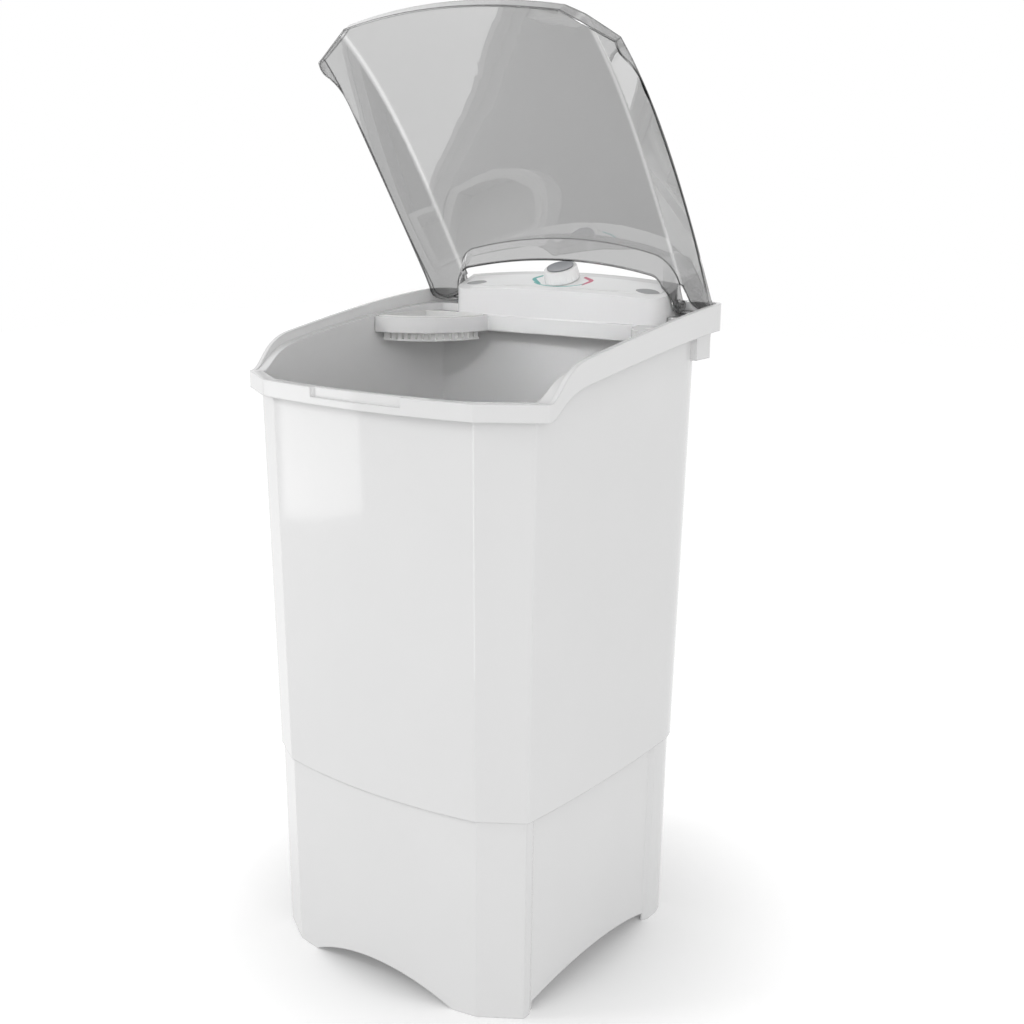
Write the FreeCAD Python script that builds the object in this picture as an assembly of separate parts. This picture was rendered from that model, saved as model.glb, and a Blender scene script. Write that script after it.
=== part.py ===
import FreeCAD, Part
import math
import os

Vector = FreeCAD.Vector

# Semi-automatic washing machine. Millimetres, +Z up, front towards -Y.
# The origin is on the floor, under the middle of the machine.

# Tub plan, measured at the height of the front rim
tub_half_width = 235.0
tub_front = 214.5
tub_rear = 234.0
corner_cut_across = 65.0
corner_cut_along = 42.0
side_flare = 7.0
rear_column_depth = 55.0
rear_column_turn = 14.0
front_bow = 17.0
side_bow = 6.5
rear_column_bow = 3.0
tub_draft_angle = 1.0
tub_wall = 3.2
upright_radius = 6.0

# Heights above the floor
seam_height = 294.0
floor_top = 313.0
floor_thickness = 4.0
rim_front_bottom = 830.0
rim_front_top = 853.0
rim_shoulder_bottom = 868.0
rim_shoulder_top = 902.0
rim_rear_bottom = 906.0
rim_rear_top = 944.0
ledge_shoulder = 889.0
ledge_rear = 922.0
ledge_rear_start = 212.0
tier_bottom = 866.0

# Rim band round the tub's mouth
rim_front_overhang = 12.0
rim_corner_overhang = 14.0
rim_side_overhang = 20.0
rim_rear = 274.0
rim_level_run = 24.0
rim_rear_corner_depth = 38.0
rim_rear_corner_turn = 20.0
rim_rear_corner_bow = 7.0
rim_skin = 3.0
upstand_thickness = 7.0
ledge_thickness = 3.0
curve_start = -174.0
curve_steep = -151.0
curve_shoulder = -91.0
climb_slope = 0.155
rear_slope = 0.05
tier_side_overhang = 6.0
tier_rear = 262.0
tier_start = 208.0
finger_recess_half_width = 76.0
finger_recess_depth = 5.0
finger_recess_height = 13.0
finger_recess_end_radius = 4.5

# Impeller dish and drain in the tub floor
dish_centre_y = 5.0
dish_top_radius = 172.0
dish_bottom_radius = 152.0
dish_depth = 14.0
drain_x = 128.0
drain_y = 180.0
drain_hole_radius = 17.0
grate_radius = 24.0
grate_thickness = 2.0
grate_slot_width = 4.0
grate_slot_count = 5

# Base skirt
base_inset = 3.6
base_wall = 3.2
base_draft_angle = 0.6
base_lip_gap = 0.4
base_panel_step = 5.0
base_column_width = 14.0
base_step_run = 9.0
arch_height = 34.0
front_arch_half_width = 127.0
side_arch_front = -138.0
side_arch_rear = 154.0
side_arch_spring = 12.0
flange_top = 297.0
flange_thickness = 4.0
flange_width = 18.0

# Console bridge across the rear of the tub
console_half_length = 189.0
console_front = 209.0
console_front_bow = 9.0
console_rear = 265.5
console_end_radius = 26.0
console_wall = 2.6
console_front_height = 947.0
console_tilt_angle = 20.0
console_crown = 10.0
bridge_top = 911.0
bridge_thickness = 3.0
bridge_front = 198.0
bridge_rear = 227.0
apron_bottom = 887.0
apron_thickness = 3.0
bridge_side_gap = 1.5
pocket_radius = 118.0
pocket_rim_width = 9.0
pocket_centre_x = -229.0
dish_pad_radius = 74.0
dish_pad_centre_x = 232.0
dish_sphere_radius = 120.0
dish_pad_depth = 4.0
console_seat_gap = 0.3
overlay_thickness = 0.6
overlay_margin = 12.0

# Lint basket that drops into the pocket
basket_gap = 0.6
basket_wall = 2.0
basket_floor = 874.0
basket_flange_thickness = 2.0
basket_slot_top = 886.0
basket_slot_bottom = 877.0
basket_slot_count = 15
basket_slot_width = 4.0

# Timer and knob
knob_y = 239.0
knob_radius = 27.0
knob_top_radius = 25.5
knob_height = 19.0
knob_gap = 0.8
knob_grip_count = 18
knob_grip_radius = 1.6
knob_wall = 2.6
spindle_radius = 3.0
spindle_flat = 2.2
spindle_gap = 0.05
timer_length = 52.0
timer_depth = 28.0
timer_height = 22.0
timer_ear = 10.0
timer_ear_thickness = 2.0
timer_post_radius = 3.5
timer_screw_radius = 1.5

# Lid, drawn closed and then opened to its rest angle
lid_open_angle = 61.5
lid_wall = 2.6
lid_side_gap = 2.0
lid_front_gap = 2.0
lid_seat_gap = 1.0
lid_notch_gap = 3.2
lid_rear_top_y = 165.0
lid_rear_top_z = 976.0
lid_rear_edge_y = 188.0
lid_arch_bottom = 945.0
lid_arch_end = 926.0
lid_arch_radius = 24.0
hinge_y = 251.0
hinge_z = 938.0
hinge_pin_radius = 4.0
hinge_pin_length = 20.0
hinge_pin_depth = 10.0
hinge_gap = 0.08
hinge_end_radius = 13.0
hinge_boss_radius = 8.0
hinge_boss_length = 9.0

# Poles of the closed lid's panel from front to rear: height of its crown, and fall to its fold
lid_margin = 2.0
lid_reach = rim_rear + lid_margin
lid_fold_x = 200.0
lid_border_slope = 0.42
lid_fold_radius = 24.0
LID_POLES = [(850.0, 14.0), (945.0, 16.0), (944.0, 14.0), (970.0, 26.0), (992.0, 34.0)]

# Drive under the tub floor
shaft_radius = 7.0
shaft_flat = 5.5
shaft_top = 316.0
shaft_thread_radius = 5.0
shaft_thread_length = 13.0
running_gap = 0.04
housing_spigot_radius = 21.0
housing_flange_radius = 58.0
housing_flange_thickness = 6.0
housing_hub_radius = 25.0
housing_hub_bottom = 226.0
housing_rib_count = 6
bush_radius = 11.0
bush_length = 22.0
seal_radius = 15.0
seal_height = 8.0
washer_thickness = 2.0
impeller_radius = 138.0
impeller_gap = 3.0
impeller_shell = 4.0
impeller_crown = 16.0
impeller_blade_count = 6
impeller_blade_height = 12.0
impeller_blade_width = 16.0
impeller_hub_radius = 18.0
impeller_screw_head = 9.0
impeller_screw_radius = 3.0
impeller_screw_length = 16.0
driven_pulley_radius = 105.0
driven_hub_radius = 17.0
driven_hub_height = 32.0
driven_web = 5.0
driven_hole_count = 6
driven_hole_radius = 17.0
driven_rim_depth = 12.0
belt_top_width = 10.0
belt_height = 7.0
belt_half_angle = 19.0
belt_gap = 0.3
groove_floor_gap = 1.5
groove_flank = 3.0
belt_centre_height = 200.0
motor_pulley_radius = 26.0
pulley_spacing = 150.0
motor_direction_angle = 135.0
nut_height = 8.0
nut_across_flats = 17.0

# Motor and its plate
motor_radius = 58.0
motor_height = 106.0
motor_shaft_radius = 6.0
motor_shaft_tail = 8.0
motor_band_height = 40.0
motor_band_inset = 4.0
motor_vent_count = 12
motor_vent_width = 5.0
motor_lug_circle = 50.0
motor_screw_radius = 2.5
motor_screw_depth = 12.0
plate_top = 177.0
plate_thickness = 3.0
plate_shaft_hole = 21.0
plate_margin = 16.0
tower_radius = 9.0
tower_hole_depth = 14.0
tower_reach = 78.0
tower_spread_angle = 78.0
capacitor_radius = 17.0
capacitor_height = 62.0
capacitor_reach = 66.0
clip_wall = 1.6
clip_height = 14.0
clip_foot = 12.0
terminal_length = 32.0
terminal_width = 18.0
terminal_height = 14.0
terminal_angle = 30.0
terminal_entry_count = 4
terminal_entry_radius = 2.5

# Drain outlet, duct, wiring and cord gland at the rear
outlet_radius = 13.0
outlet_wall = 2.4
outlet_drop = 47.0
outlet_height = floor_top - floor_thickness - outlet_drop
outlet_reach = 24.0
outlet_flange_radius = 21.0
outlet_flange_thickness = 3.0
elbow_radius = 18.0
elbow_flange_radius = 27.0
elbow_flange_thickness = 3.0
fit_gap = 0.1
duct_x = 60.0
duct_width = 46.0
duct_depth = 18.0
duct_wall = 2.0
duct_bottom = 296.0
harness_radius = 4.0
harness_bend = 10.0
harness_hole_gap = 1.5
harness_entry_height = 303.0
harness_drop_y = 184.0
gland_x = -70.0
gland_drop = 44.0
gland_height = seam_height - gland_drop
gland_radius = 9.0
gland_bore_radius = 4.0
gland_flange_radius = 13.0
gland_flange_thickness = 3.0
gland_reach = 14.0

# Screws
screw_radius = 2.0
screw_head_radius = 4.2
screw_head_height = 2.6
screw_gap = 0.05
base_boss_radius = 7.0
base_screw_depth = 9.0
console_screw_depth = 9.0
console_boss_radius = 5.0

reach = 400.0
rise_tan = math.tan(math.radians(console_tilt_angle))


def tub_corners():
    """Corners of the tub's plan, anticlockwise from the front left."""
    front_x = tub_half_width - corner_cut_across
    side_y = corner_cut_along - tub_front
    column_x = tub_half_width + side_flare
    column_y = tub_rear - rear_column_depth
    right = [
        Vector(front_x, -tub_front, 0),
        Vector(tub_half_width, side_y, 0),
        Vector(column_x, column_y, 0),
        Vector(column_x - rear_column_turn, tub_rear, 0),
    ]
    return mirrored_loop(right)


def mirrored_loop(right):
    """Closes a right-hand chain of corners, front to rear, with its mirror image."""
    left = [Vector(-point.x, point.y, point.z) for point in reversed(right)]
    return [left[-1]] + right + left[:-1]


TUB_BOWS = [front_bow, 0, side_bow, rear_column_bow, 0, rear_column_bow, side_bow, 0]


def rim_corners():
    """Corners of the rim band's outer plan, in the order of the tub's corners."""
    spread = [
        rim_front_overhang,
        rim_corner_overhang,
        rim_side_overhang,
        0,
        0,
        0,
        rim_side_overhang,
        rim_corner_overhang,
    ]
    moved = offset_corners(tub_corners(), spread)
    column_x = tub_half_width + side_flare + rim_side_overhang
    right = moved[1:3] + [
        Vector(column_x, rim_rear - rim_rear_corner_depth, 0),
        Vector(column_x - rim_rear_corner_turn, rim_rear, 0),
    ]
    return mirrored_loop(right)


RIM_BOWS = [front_bow, 0, side_bow, rim_rear_corner_bow, 0, rim_rear_corner_bow, side_bow, 0]


def offset_corners(corners, distances):
    """Moves every side of a loop outwards by its own distance and intersects the sides again."""
    lines = []
    for index, start in enumerate(corners):
        along = corners[(index + 1) % len(corners)] - start
        along.normalize()
        outward = Vector(along.y, -along.x, 0)
        lines.append((start + outward * distances[index], along))
    moved = []
    for index, (second, second_way) in enumerate(lines):
        first, first_way = lines[index - 1]
        cross = first_way.x * second_way.y - first_way.y * second_way.x
        gap = second - first
        travel = (gap.x * second_way.y - gap.y * second_way.x) / cross
        moved.append(first + first_way * travel)
    return moved


def evenly(corners, distance):
    """The same loop with all its sides moved outwards by one distance."""
    return offset_corners(corners, [distance] * len(corners))


def loop_wire(corners, bows, height):
    """Closed wire at one height. A bowed side is an arc whose middle stands out by the bow."""
    edges = []
    for index, corner in enumerate(corners):
        start = Vector(corner.x, corner.y, height)
        following = corners[(index + 1) % len(corners)]
        end = Vector(following.x, following.y, height)
        edges.append(bowed_edge(start, end, bows[index]))
    return Part.Wire(edges)


def bowed_edge(start, end, bow):
    """Straight edge, or an arc that stands out to the right of its way by the bow."""
    if bow == 0:
        return Part.LineSegment(start, end).toShape()
    along = end - start
    along.normalize()
    middle = (start + end) * 0.5 + Vector(along.y, -along.x, 0) * bow
    return Part.Arc(start, middle, end).toShape()


def tapered(corners, bows, bottom, top, bottom_offset, top_offset):
    """Solid between the plan at two heights, each moved outwards by its own offset."""
    lower = loop_wire(evenly(corners, bottom_offset), bows, bottom)
    upper = loop_wire(evenly(corners, top_offset), bows, top)
    return Part.makeLoft([lower, upper], True, True)


def straight(corners, bows, bottom, top, offset=0.0):
    """Upright solid on a plan."""
    wire = loop_wire(evenly(corners, offset), bows, bottom)
    return Part.Face(wire).extrude(Vector(0, 0, top - bottom))


def round_uprights(solid, radius):
    """Rounds the edges that climb from the bottom face to the top face."""
    box = solid.BoundBox
    span = box.ZLength
    uprights = [edge for edge in solid.Edges if edge.BoundBox.ZLength > 0.9 * span]
    return solid.makeFillet(radius, uprights)


def block(low, high):
    """Upright box between two corners."""
    size = high - low
    return Part.makeBox(size.x, size.y, size.z, low)


def rod(radius, start, end):
    """Cylinder between two points."""
    along = end - start
    return Part.makeCylinder(radius, along.Length, start, along)


def screw_hole(foot, depth):
    """Upright hole for one of the common screws."""
    return rod(screw_radius + screw_gap, foot, foot + Vector(0, 0, depth))


def tube(outer, inner, start, end):
    """Round tube between two points."""
    return rod(outer, start, end).cut(rod(inner, start, end))


def turned(points, axis_x=0.0, axis_y=0.0):
    """Solid of revolution about an upright axis, from a closed profile of (radius, height)."""
    profile = [Vector(axis_x + radius, axis_y, height) for radius, height in points]
    profile.append(profile[0])
    face = Part.Face(Part.makePolygon(profile))
    return face.revolve(Vector(axis_x, axis_y, 0), Vector(0, 0, 1), 360)


def fused(shapes):
    """One solid of several that overlap."""
    whole = shapes[0].fuse(shapes[1:])
    return whole.removeSplitter()


def side_line(front, shoulder, rear, rear_start, lift=0.0):
    """Edges of a line along the machine's side, as seen from the side, from front to rear.

    It is level at the front, swings up in an S to the shoulder, climbs to the rear and ends level.
    """
    third = (rear_start - curve_shoulder) / 3
    swing = [
        (curve_start, front),
        (curve_steep, front),
        (curve_steep, shoulder - climb_slope * (curve_shoulder - curve_steep)),
        (curve_shoulder, shoulder),
    ]
    climb = [
        (curve_shoulder, shoulder),
        (curve_shoulder + third, shoulder + climb_slope * third),
        (rear_start - third, rear - rear_slope * third),
        (rear_start, rear),
    ]
    edges = [side_edge([(-reach, front), (curve_start, front)], lift)]
    edges.append(side_edge(swing, lift))
    edges.append(side_edge(climb, lift))
    edges.append(side_edge([(rear_start, rear), (reach, rear)], lift))
    return edges


def side_edge(points, lift):
    """Curve in the side view whose poles are (y, z) points. Two points give a straight edge."""
    curve = Part.BezierCurve()
    curve.setPoles([Vector(-reach, y, z + lift) for y, z in points])
    return curve.toShape()


def flat_line(height):
    """A level line along the machine's side."""
    return [side_edge([(-reach, height), (reach, height)], 0.0)]


def slab_between(lower, upper):
    """Solid across the machine between two side lines."""
    low_start = lower[0].Vertexes[0].Point
    low_end = lower[-1].Vertexes[-1].Point
    high_start = upper[0].Vertexes[0].Point
    high_end = upper[-1].Vertexes[-1].Point
    ends = [
        Part.LineSegment(low_start, high_start).toShape(),
        Part.LineSegment(low_end, high_end).toShape(),
    ]
    wire = Part.Wire(Part.sortEdges(lower + ends + upper)[0])
    return Part.Face(wire).extrude(Vector(2 * reach, 0, 0))


def top_line(lift=0.0):
    return side_line(rim_front_top, rim_shoulder_top, rim_rear_top, rim_rear - rim_level_run, lift)


def ledge_line(lift=0.0):
    return side_line(rim_front_top, ledge_shoulder, ledge_rear, ledge_rear_start, lift)


def band_line():
    return side_line(rim_front_bottom, rim_shoulder_bottom, rim_rear_bottom, rim_rear - rim_level_run)


def tub_offset(height):
    """How far the drafted tub wall has moved in or out at a height."""
    return (height - rim_front_bottom) * math.tan(math.radians(tub_draft_angle))


def tub_solid(bottom, top, inset):
    """The tub's drafted outer form, or its cavity where the inset is a wall."""
    low = tub_offset(bottom) - inset
    high = tub_offset(top) - inset
    return tapered(tub_corners(), TUB_BOWS, bottom, top, low, high)


def tub_cavity():
    """Wash space, open at the top."""
    return tub_solid(floor_top, rim_rear_top + tub_wall, tub_wall)


def make_rim(cavity):
    """Band, upstand and ledge round the tub's mouth, with the deck at the rear."""
    outer = straight(rim_corners(), RIM_BOWS, rim_front_bottom, rim_rear_top)
    outer = round_uprights(outer, upright_radius)
    skin_inside = straight(rim_corners(), RIM_BOWS, rim_front_bottom, rim_rear_top, -rim_skin)
    upstand_inside = straight(rim_corners(), RIM_BOWS, rim_front_bottom, rim_rear_top, -upstand_thickness)
    skin = outer.cut(skin_inside).common(slab_between(band_line(), top_line()))
    upstand = outer.cut(upstand_inside).common(slab_between(ledge_line(-ledge_thickness), top_line()))
    ledge = outer.cut(cavity).common(slab_between(ledge_line(-ledge_thickness), ledge_line()))
    return [skin, upstand, ledge]


def tier_corners():
    """Plan of the deeper tier that the rim has at the rear."""
    column_x = tub_half_width + side_flare + tier_side_overhang
    right = [
        Vector(column_x, tier_start, 0),
        Vector(column_x, tier_rear - rear_column_turn, 0),
        Vector(column_x - rear_column_turn, tier_rear, 0),
    ]
    left = [Vector(-point.x, point.y, 0) for point in reversed(right)]
    return right + left


TIER_BOWS = [0, rear_column_bow, 0, rear_column_bow, 0, 0]


def make_tier(cavity):
    """Rear tier: a skirt under the rim, closed at its top by a shelf."""
    top = rim_rear_bottom + ledge_thickness
    outer = straight(tier_corners(), TIER_BOWS, tier_bottom, top)
    inside = straight(tier_corners(), TIER_BOWS, tier_bottom, top - ledge_thickness, -rim_skin)
    shelf = straight(rim_corners(), RIM_BOWS, rim_rear_bottom, top, -rim_skin / 2)
    behind = block(Vector(-reach, tier_start, 0), Vector(reach, reach, reach * 3))
    shelf = shelf.common(behind)
    return outer.cut(inside).fuse(shelf).cut(cavity)


def motor_axis():
    """Point on the floor under the motor's axis."""
    turn = math.radians(motor_direction_angle)
    return Vector(pulley_spacing * math.cos(turn), dish_centre_y + pulley_spacing * math.sin(turn), 0)


def polar(centre, distance, angle):
    """Point at a distance and an angle, in degrees, from a centre."""
    turn = math.radians(angle)
    return centre + Vector(distance * math.cos(turn), distance * math.sin(turn), 0)


def tower_points():
    """Places of the three towers that carry the motor plate."""
    angles = [motor_direction_angle + step * tower_spread_angle for step in (-1, 0, 1)]
    return [polar(motor_axis(), tower_reach, angle) for angle in angles]


def raised(point, height):
    return Vector(point.x, point.y, height)


def base_screw_points():
    """Eight places on the base flange, two on each side."""
    front_x = tub_half_width - corner_cut_across - base_boss_radius * 3
    side_x = tub_half_width + tub_offset(seam_height) - tub_wall - base_inset - flange_width / 2
    front_y = tub_front + tub_offset(seam_height) - tub_wall - base_inset - flange_width / 2
    rear_y = tub_rear + tub_offset(seam_height) - tub_wall - base_inset - flange_width / 2
    side_front = -tub_front / 3
    side_rear = tub_rear / 2
    right = [
        Vector(front_x, -front_y, 0),
        Vector(side_x, side_front, 0),
        Vector(side_x, side_rear, 0),
        Vector(front_x, rear_y, 0),
    ]
    return right + [Vector(-point.x, point.y, 0) for point in right]


def make_tub():
    """The tub with its rim, rear tier, impeller dish, towers and bosses."""
    floor_bottom = floor_top - floor_thickness
    cavity = round_uprights(tub_cavity(), upright_radius - tub_wall / 2)
    outer = round_uprights(tub_solid(seam_height, rim_rear_top, 0), upright_radius)
    below = tub_solid(seam_height, floor_bottom, tub_wall)
    wall = outer.cut(cavity).cut(below)
    wall = wall.common(slab_between(flat_line(0), ledge_line()))
    tub = fused([wall] + make_rim(cavity) + [make_tier(cavity)])
    return with_floor(with_finger_recess(tub), floor_bottom)


def with_finger_recess(tub):
    """Recess in the upper part of the front band, to lift the lid by, with a back of its own."""
    low = Vector(-finger_recess_half_width, -reach, rim_front_top - finger_recess_height)
    high = Vector(finger_recess_half_width, 0, rim_front_top)
    margin = Vector(rim_skin, 0, rim_skin)
    skin = straight(rim_corners(), RIM_BOWS, rim_front_bottom, rim_rear_top, -rim_skin / 2)
    back = straight(rim_corners(), RIM_BOWS, rim_front_bottom, rim_rear_top, -finger_recess_depth)
    backed = -finger_recess_depth - rim_skin
    behind = straight(rim_corners(), RIM_BOWS, rim_front_bottom, rim_rear_top, backed)
    backing_top = Vector(high.x + rim_skin, 0, rim_front_top - ledge_thickness / 2)
    backing = block(low - margin, backing_top).common(skin).cut(behind)
    scoop = block(low, Vector(high.x, 0, high.z + rim_skin)).cut(back)
    ends = [
        edge for edge in scoop.Edges
        if edge.BoundBox.ZLength > finger_recess_height and edge.BoundBox.YMin > -reach
    ]
    return tub.fuse(backing).cut(scoop.makeFillet(finger_recess_end_radius, ends)).removeSplitter()


def with_floor(tub, floor_bottom):
    """Adds what the tub floor carries, then cuts its holes."""
    centre = Vector(0, dish_centre_y, 0)
    dish_floor = floor_top - dish_depth
    bowl = turned([
        (0, dish_floor - floor_thickness),
        (dish_bottom_radius + floor_thickness, dish_floor - floor_thickness),
        (dish_top_radius + floor_thickness, floor_bottom),
        (dish_top_radius + floor_thickness, floor_top),
        (0, floor_top),
    ], centre.x, centre.y)
    hollow = turned([
        (0, dish_floor),
        (dish_bottom_radius, dish_floor),
        (dish_top_radius, floor_top),
        (0, floor_top),
    ], centre.x, centre.y)
    added = [bowl]
    holes = [hollow]
    for point in tower_points():
        added.append(rod(tower_radius, raised(point, plate_top), raised(point, floor_top)))
        holes.append(screw_hole(raised(point, plate_top), tower_hole_depth))
    for point in base_screw_points():
        added.append(rod(base_boss_radius, raised(point, flange_top), raised(point, floor_top)))
        holes.append(screw_hole(raised(point, flange_top), base_screw_depth))
    spigot = housing_spigot_radius + fit_gap
    holes.append(rod(spigot, raised(centre, dish_floor - floor_thickness), raised(centre, floor_top)))
    for point in bearing_screw_points():
        holes.append(screw_hole(raised(point, dish_floor - floor_thickness), floor_thickness))
    drain = Vector(drain_x, drain_y, 0)
    holes.append(rod(drain_hole_radius, raised(drain, floor_bottom), raised(drain, floor_top)))
    grate_seat = raised(drain, floor_top - grate_thickness)
    holes.append(rod(grate_radius + fit_gap, grate_seat, raised(drain, floor_top)))
    holes.append(harness_hole())
    holes.append(duct_hole())
    for point in console_screw_points():
        holes.append(screw_hole(raised(point, ledge_rear - ledge_thickness), ledge_thickness))
    return fused([tub] + added).cut(holes)


def bearing_screw_points():
    """Four screws through the dish into the bearing housing's flange."""
    centre = Vector(0, dish_centre_y, 0)
    distance = (housing_hub_radius + housing_flange_radius) / 2 + screw_head_radius / 2
    return [polar(centre, distance, 45 + 90 * step) for step in range(4)]


def rear_face(height):
    """Where the tub's rear wall stands at a height."""
    return tub_rear + tub_offset(height)


def harness_x():
    return duct_x


def harness_y():
    """The harness runs down the middle of the duct, which stands on the drafted rear wall."""
    return rear_face(tier_bottom) + duct_depth / 2


def harness_hole():
    """Way for the wires through the rear walls, just under the tub floor."""
    radius = harness_radius + harness_hole_gap
    start = Vector(harness_x(), harness_drop_y, harness_entry_height)
    return rod(radius, start, Vector(harness_x(), tier_rear, harness_entry_height))


def duct_hole():
    """Way for the wires through the rear deck into the console."""
    radius = harness_radius + harness_hole_gap
    low = Vector(harness_x(), harness_y(), rim_rear_bottom - ledge_thickness)
    return rod(radius, low, Vector(harness_x(), harness_y(), ledge_rear + ledge_thickness))


def base_corners(inset):
    """Base plan under the tub's edge, with side panels stepped back between the corner columns."""
    corners = evenly(tub_corners(), tub_offset(seam_height) - base_inset - inset)
    front, side, column, rear = corners[1:5]
    along = column - side
    along.normalize()
    inward = Vector(-along.y, along.x, 0) * base_panel_step
    first = side + along * base_column_width
    last = column - along * base_column_width
    step = along * base_step_run
    right = [front, side, first, first + step + inward, last - step + inward, last, column, rear]
    return mirrored_loop(right)


BASE_RIGHT_BOWS = [0, 0, 0, side_bow, 0, 0, rear_column_bow]
BASE_BOWS = [front_bow] + BASE_RIGHT_BOWS + [0] + BASE_RIGHT_BOWS[::-1]


def base_form(bottom, top, inset):
    """The base's drafted form. It follows the tub's own draft above the seam."""
    fall = math.tan(math.radians(base_draft_angle))
    low = base_corners(inset + (seam_height - bottom) * fall)
    high = base_corners(inset + (seam_height - top) * fall)
    lower = loop_wire(low, BASE_BOWS, bottom)
    upper = loop_wire(high, BASE_BOWS, top)
    return Part.makeLoft([lower, upper], True, True)


def arch(half_width, spring, crown):
    """Arch profile in the XZ plane: level feet, then an arc that meets them at the spring."""
    start = Vector(-half_width, 0, spring)
    end = Vector(half_width, 0, spring)
    curve = Part.Arc(start, Vector(0, 0, crown), end).toShape()
    low_start = Vector(-half_width, 0, -crown)
    low_end = Vector(half_width, 0, -crown)
    sides = [
        Part.LineSegment(low_start, start).toShape(),
        Part.LineSegment(end, low_end).toShape(),
        Part.LineSegment(low_end, low_start).toShape(),
    ]
    return Part.Face(Part.Wire(Part.sortEdges([curve] + sides)[0]))


def make_base():
    """Skirt on four corner feet, with an arch in each side and a flange that carries the tub."""
    top = floor_top - floor_thickness - base_lip_gap
    shell = base_form(0, top, 0).cut(base_form(0, top, base_wall))
    flange = base_form(flange_top - flange_thickness, flange_top, base_wall / 2)
    flange = flange.cut(base_form(flange_top - flange_thickness, flange_top, base_wall + flange_width))
    skirt = fused([shell, flange])
    front_arch = arch(front_arch_half_width, 0, arch_height).extrude(Vector(0, 2 * reach, 0))
    front_arch.translate(Vector(0, -reach, 0))
    side_half = (side_arch_rear - side_arch_front) / 2
    side_arch = arch(side_half, side_arch_spring, arch_height).extrude(Vector(0, 2 * reach, 0))
    side_arch.rotate(Vector(0, 0, 0), Vector(0, 0, 1), 90)
    side_arch.translate(Vector(reach, (side_arch_rear + side_arch_front) / 2, 0))
    holes = [front_arch, side_arch, harness_hole()]
    for point in base_screw_points():
        holes.append(screw_hole(raised(point, flange_top - flange_thickness), flange_thickness))
    holes.append(rear_hole(drain_x, outlet_height, outlet_radius + fit_gap))
    holes.append(rear_hole(gland_x, gland_height, gland_radius + fit_gap))
    return skirt.cut(holes)


def base_rear(height):
    """Outer face of the base's rear wall at a height."""
    fall = (seam_height - height) * math.tan(math.radians(base_draft_angle))
    return rear_face(seam_height) - base_inset - fall


def rear_hole(x, height, radius):
    """Hole through the base's rear wall."""
    start = Vector(x, base_rear(height) - base_wall * 2, height)
    return rod(radius, start, start + Vector(0, base_wall * 4, 0))


def console_plan(offset, bottom, top):
    """Upright form on the console's plan: a bowed front, rounded ends and a straight rear."""
    right = [
        Vector(console_half_length, console_front, 0),
        Vector(console_half_length, console_rear, 0),
    ]
    loop = mirrored_loop(right)
    bows = [console_front_bow, 0, 0, 0]
    form = straight(loop, bows, bottom, top, offset)
    front = [
        edge for edge in form.Edges
        if edge.BoundBox.ZLength > 0.9 * (top - bottom) and edge.BoundBox.YMax < hinge_y - hinge_end_radius
    ]
    return form.makeFillet(console_end_radius + offset, front)


def console_roof(lift):
    """Everything under the console's tilted, crowned top."""
    edges = []
    for y in (console_front - reach / 8, console_rear + reach / 8):
        height = console_front_height + lift + (y - console_front) * rise_tan
        left = Vector(-reach, y, height - console_crown * ((reach / console_half_length) ** 2 - 1))
        right = Vector(reach, y, left.z)
        edges.append(Part.Arc(left, Vector(0, y, height + console_crown), right).toShape())
    roof = Part.makeRuledSurface(edges[0], edges[1])
    return roof.extrude(Vector(0, 0, -reach))


def bridge_plan():
    """Plan of the bridge: a straight front between a quarter-round at each end, inside the tub."""
    low = Vector(-reach, bridge_front, 0)
    strip = block(low, Vector(reach, bridge_rear, bridge_top))
    pocket_centre = Vector(pocket_centre_x, bridge_front, 0)
    pad_centre = Vector(dish_pad_centre_x, bridge_front, 0)
    pocket = rod(pocket_radius, pocket_centre, raised(pocket_centre, bridge_top))
    pad = rod(dish_pad_radius, pad_centre, raised(pad_centre, bridge_top))
    ahead = block(Vector(-reach, -reach, 0), Vector(reach, bridge_rear, bridge_top))
    room = tub_solid(floor_top, bridge_top, tub_wall + bridge_side_gap)
    return strip.fuse([pocket.common(ahead), pad.common(ahead)]).removeSplitter().common(room)


def level(form, bottom, top):
    """The part of a form between two heights."""
    return form.common(block(Vector(-reach, -reach, bottom), Vector(reach, reach, top)))


def make_console():
    """Console housing with the bridge, apron, pocket band and dish."""
    outer = console_plan(0, bridge_top - bridge_thickness, reach * 3).common(console_roof(0))
    inner = console_plan(-console_wall, bridge_top - bridge_thickness, reach * 3)
    inner = inner.common(console_roof(-console_wall))
    rear_room = block(Vector(-reach, bridge_rear, 0), Vector(reach, reach, ledge_rear + console_seat_gap))
    plan = bridge_plan()
    plate = level(plan, bridge_top - bridge_thickness, bridge_top)
    apron = level(plan, apron_bottom, bridge_top).cut(apron_inside())
    housing = outer.cut(inner).cut(rear_room)
    posts = [timer_post(point) for point in timer_screw_points()]
    posts = [post.common(console_roof(-console_wall / 2)) for post in posts]
    bosses = [console_boss(point) for point in console_screw_points()]
    bosses += [hinge_boss(side) for side in (-1, 1)]
    whole = fused([plate, apron, housing] + posts + bosses)
    holes = [pocket_opening(), dish_scoop(), spindle_hole()]
    holes += [timer_screw_hole(point) for point in timer_screw_points()]
    holes += [console_screw_hole(point) for point in console_screw_points()]
    holes += [hinge_socket(side) for side in (-1, 1)]
    return whole.cut(holes)


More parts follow.
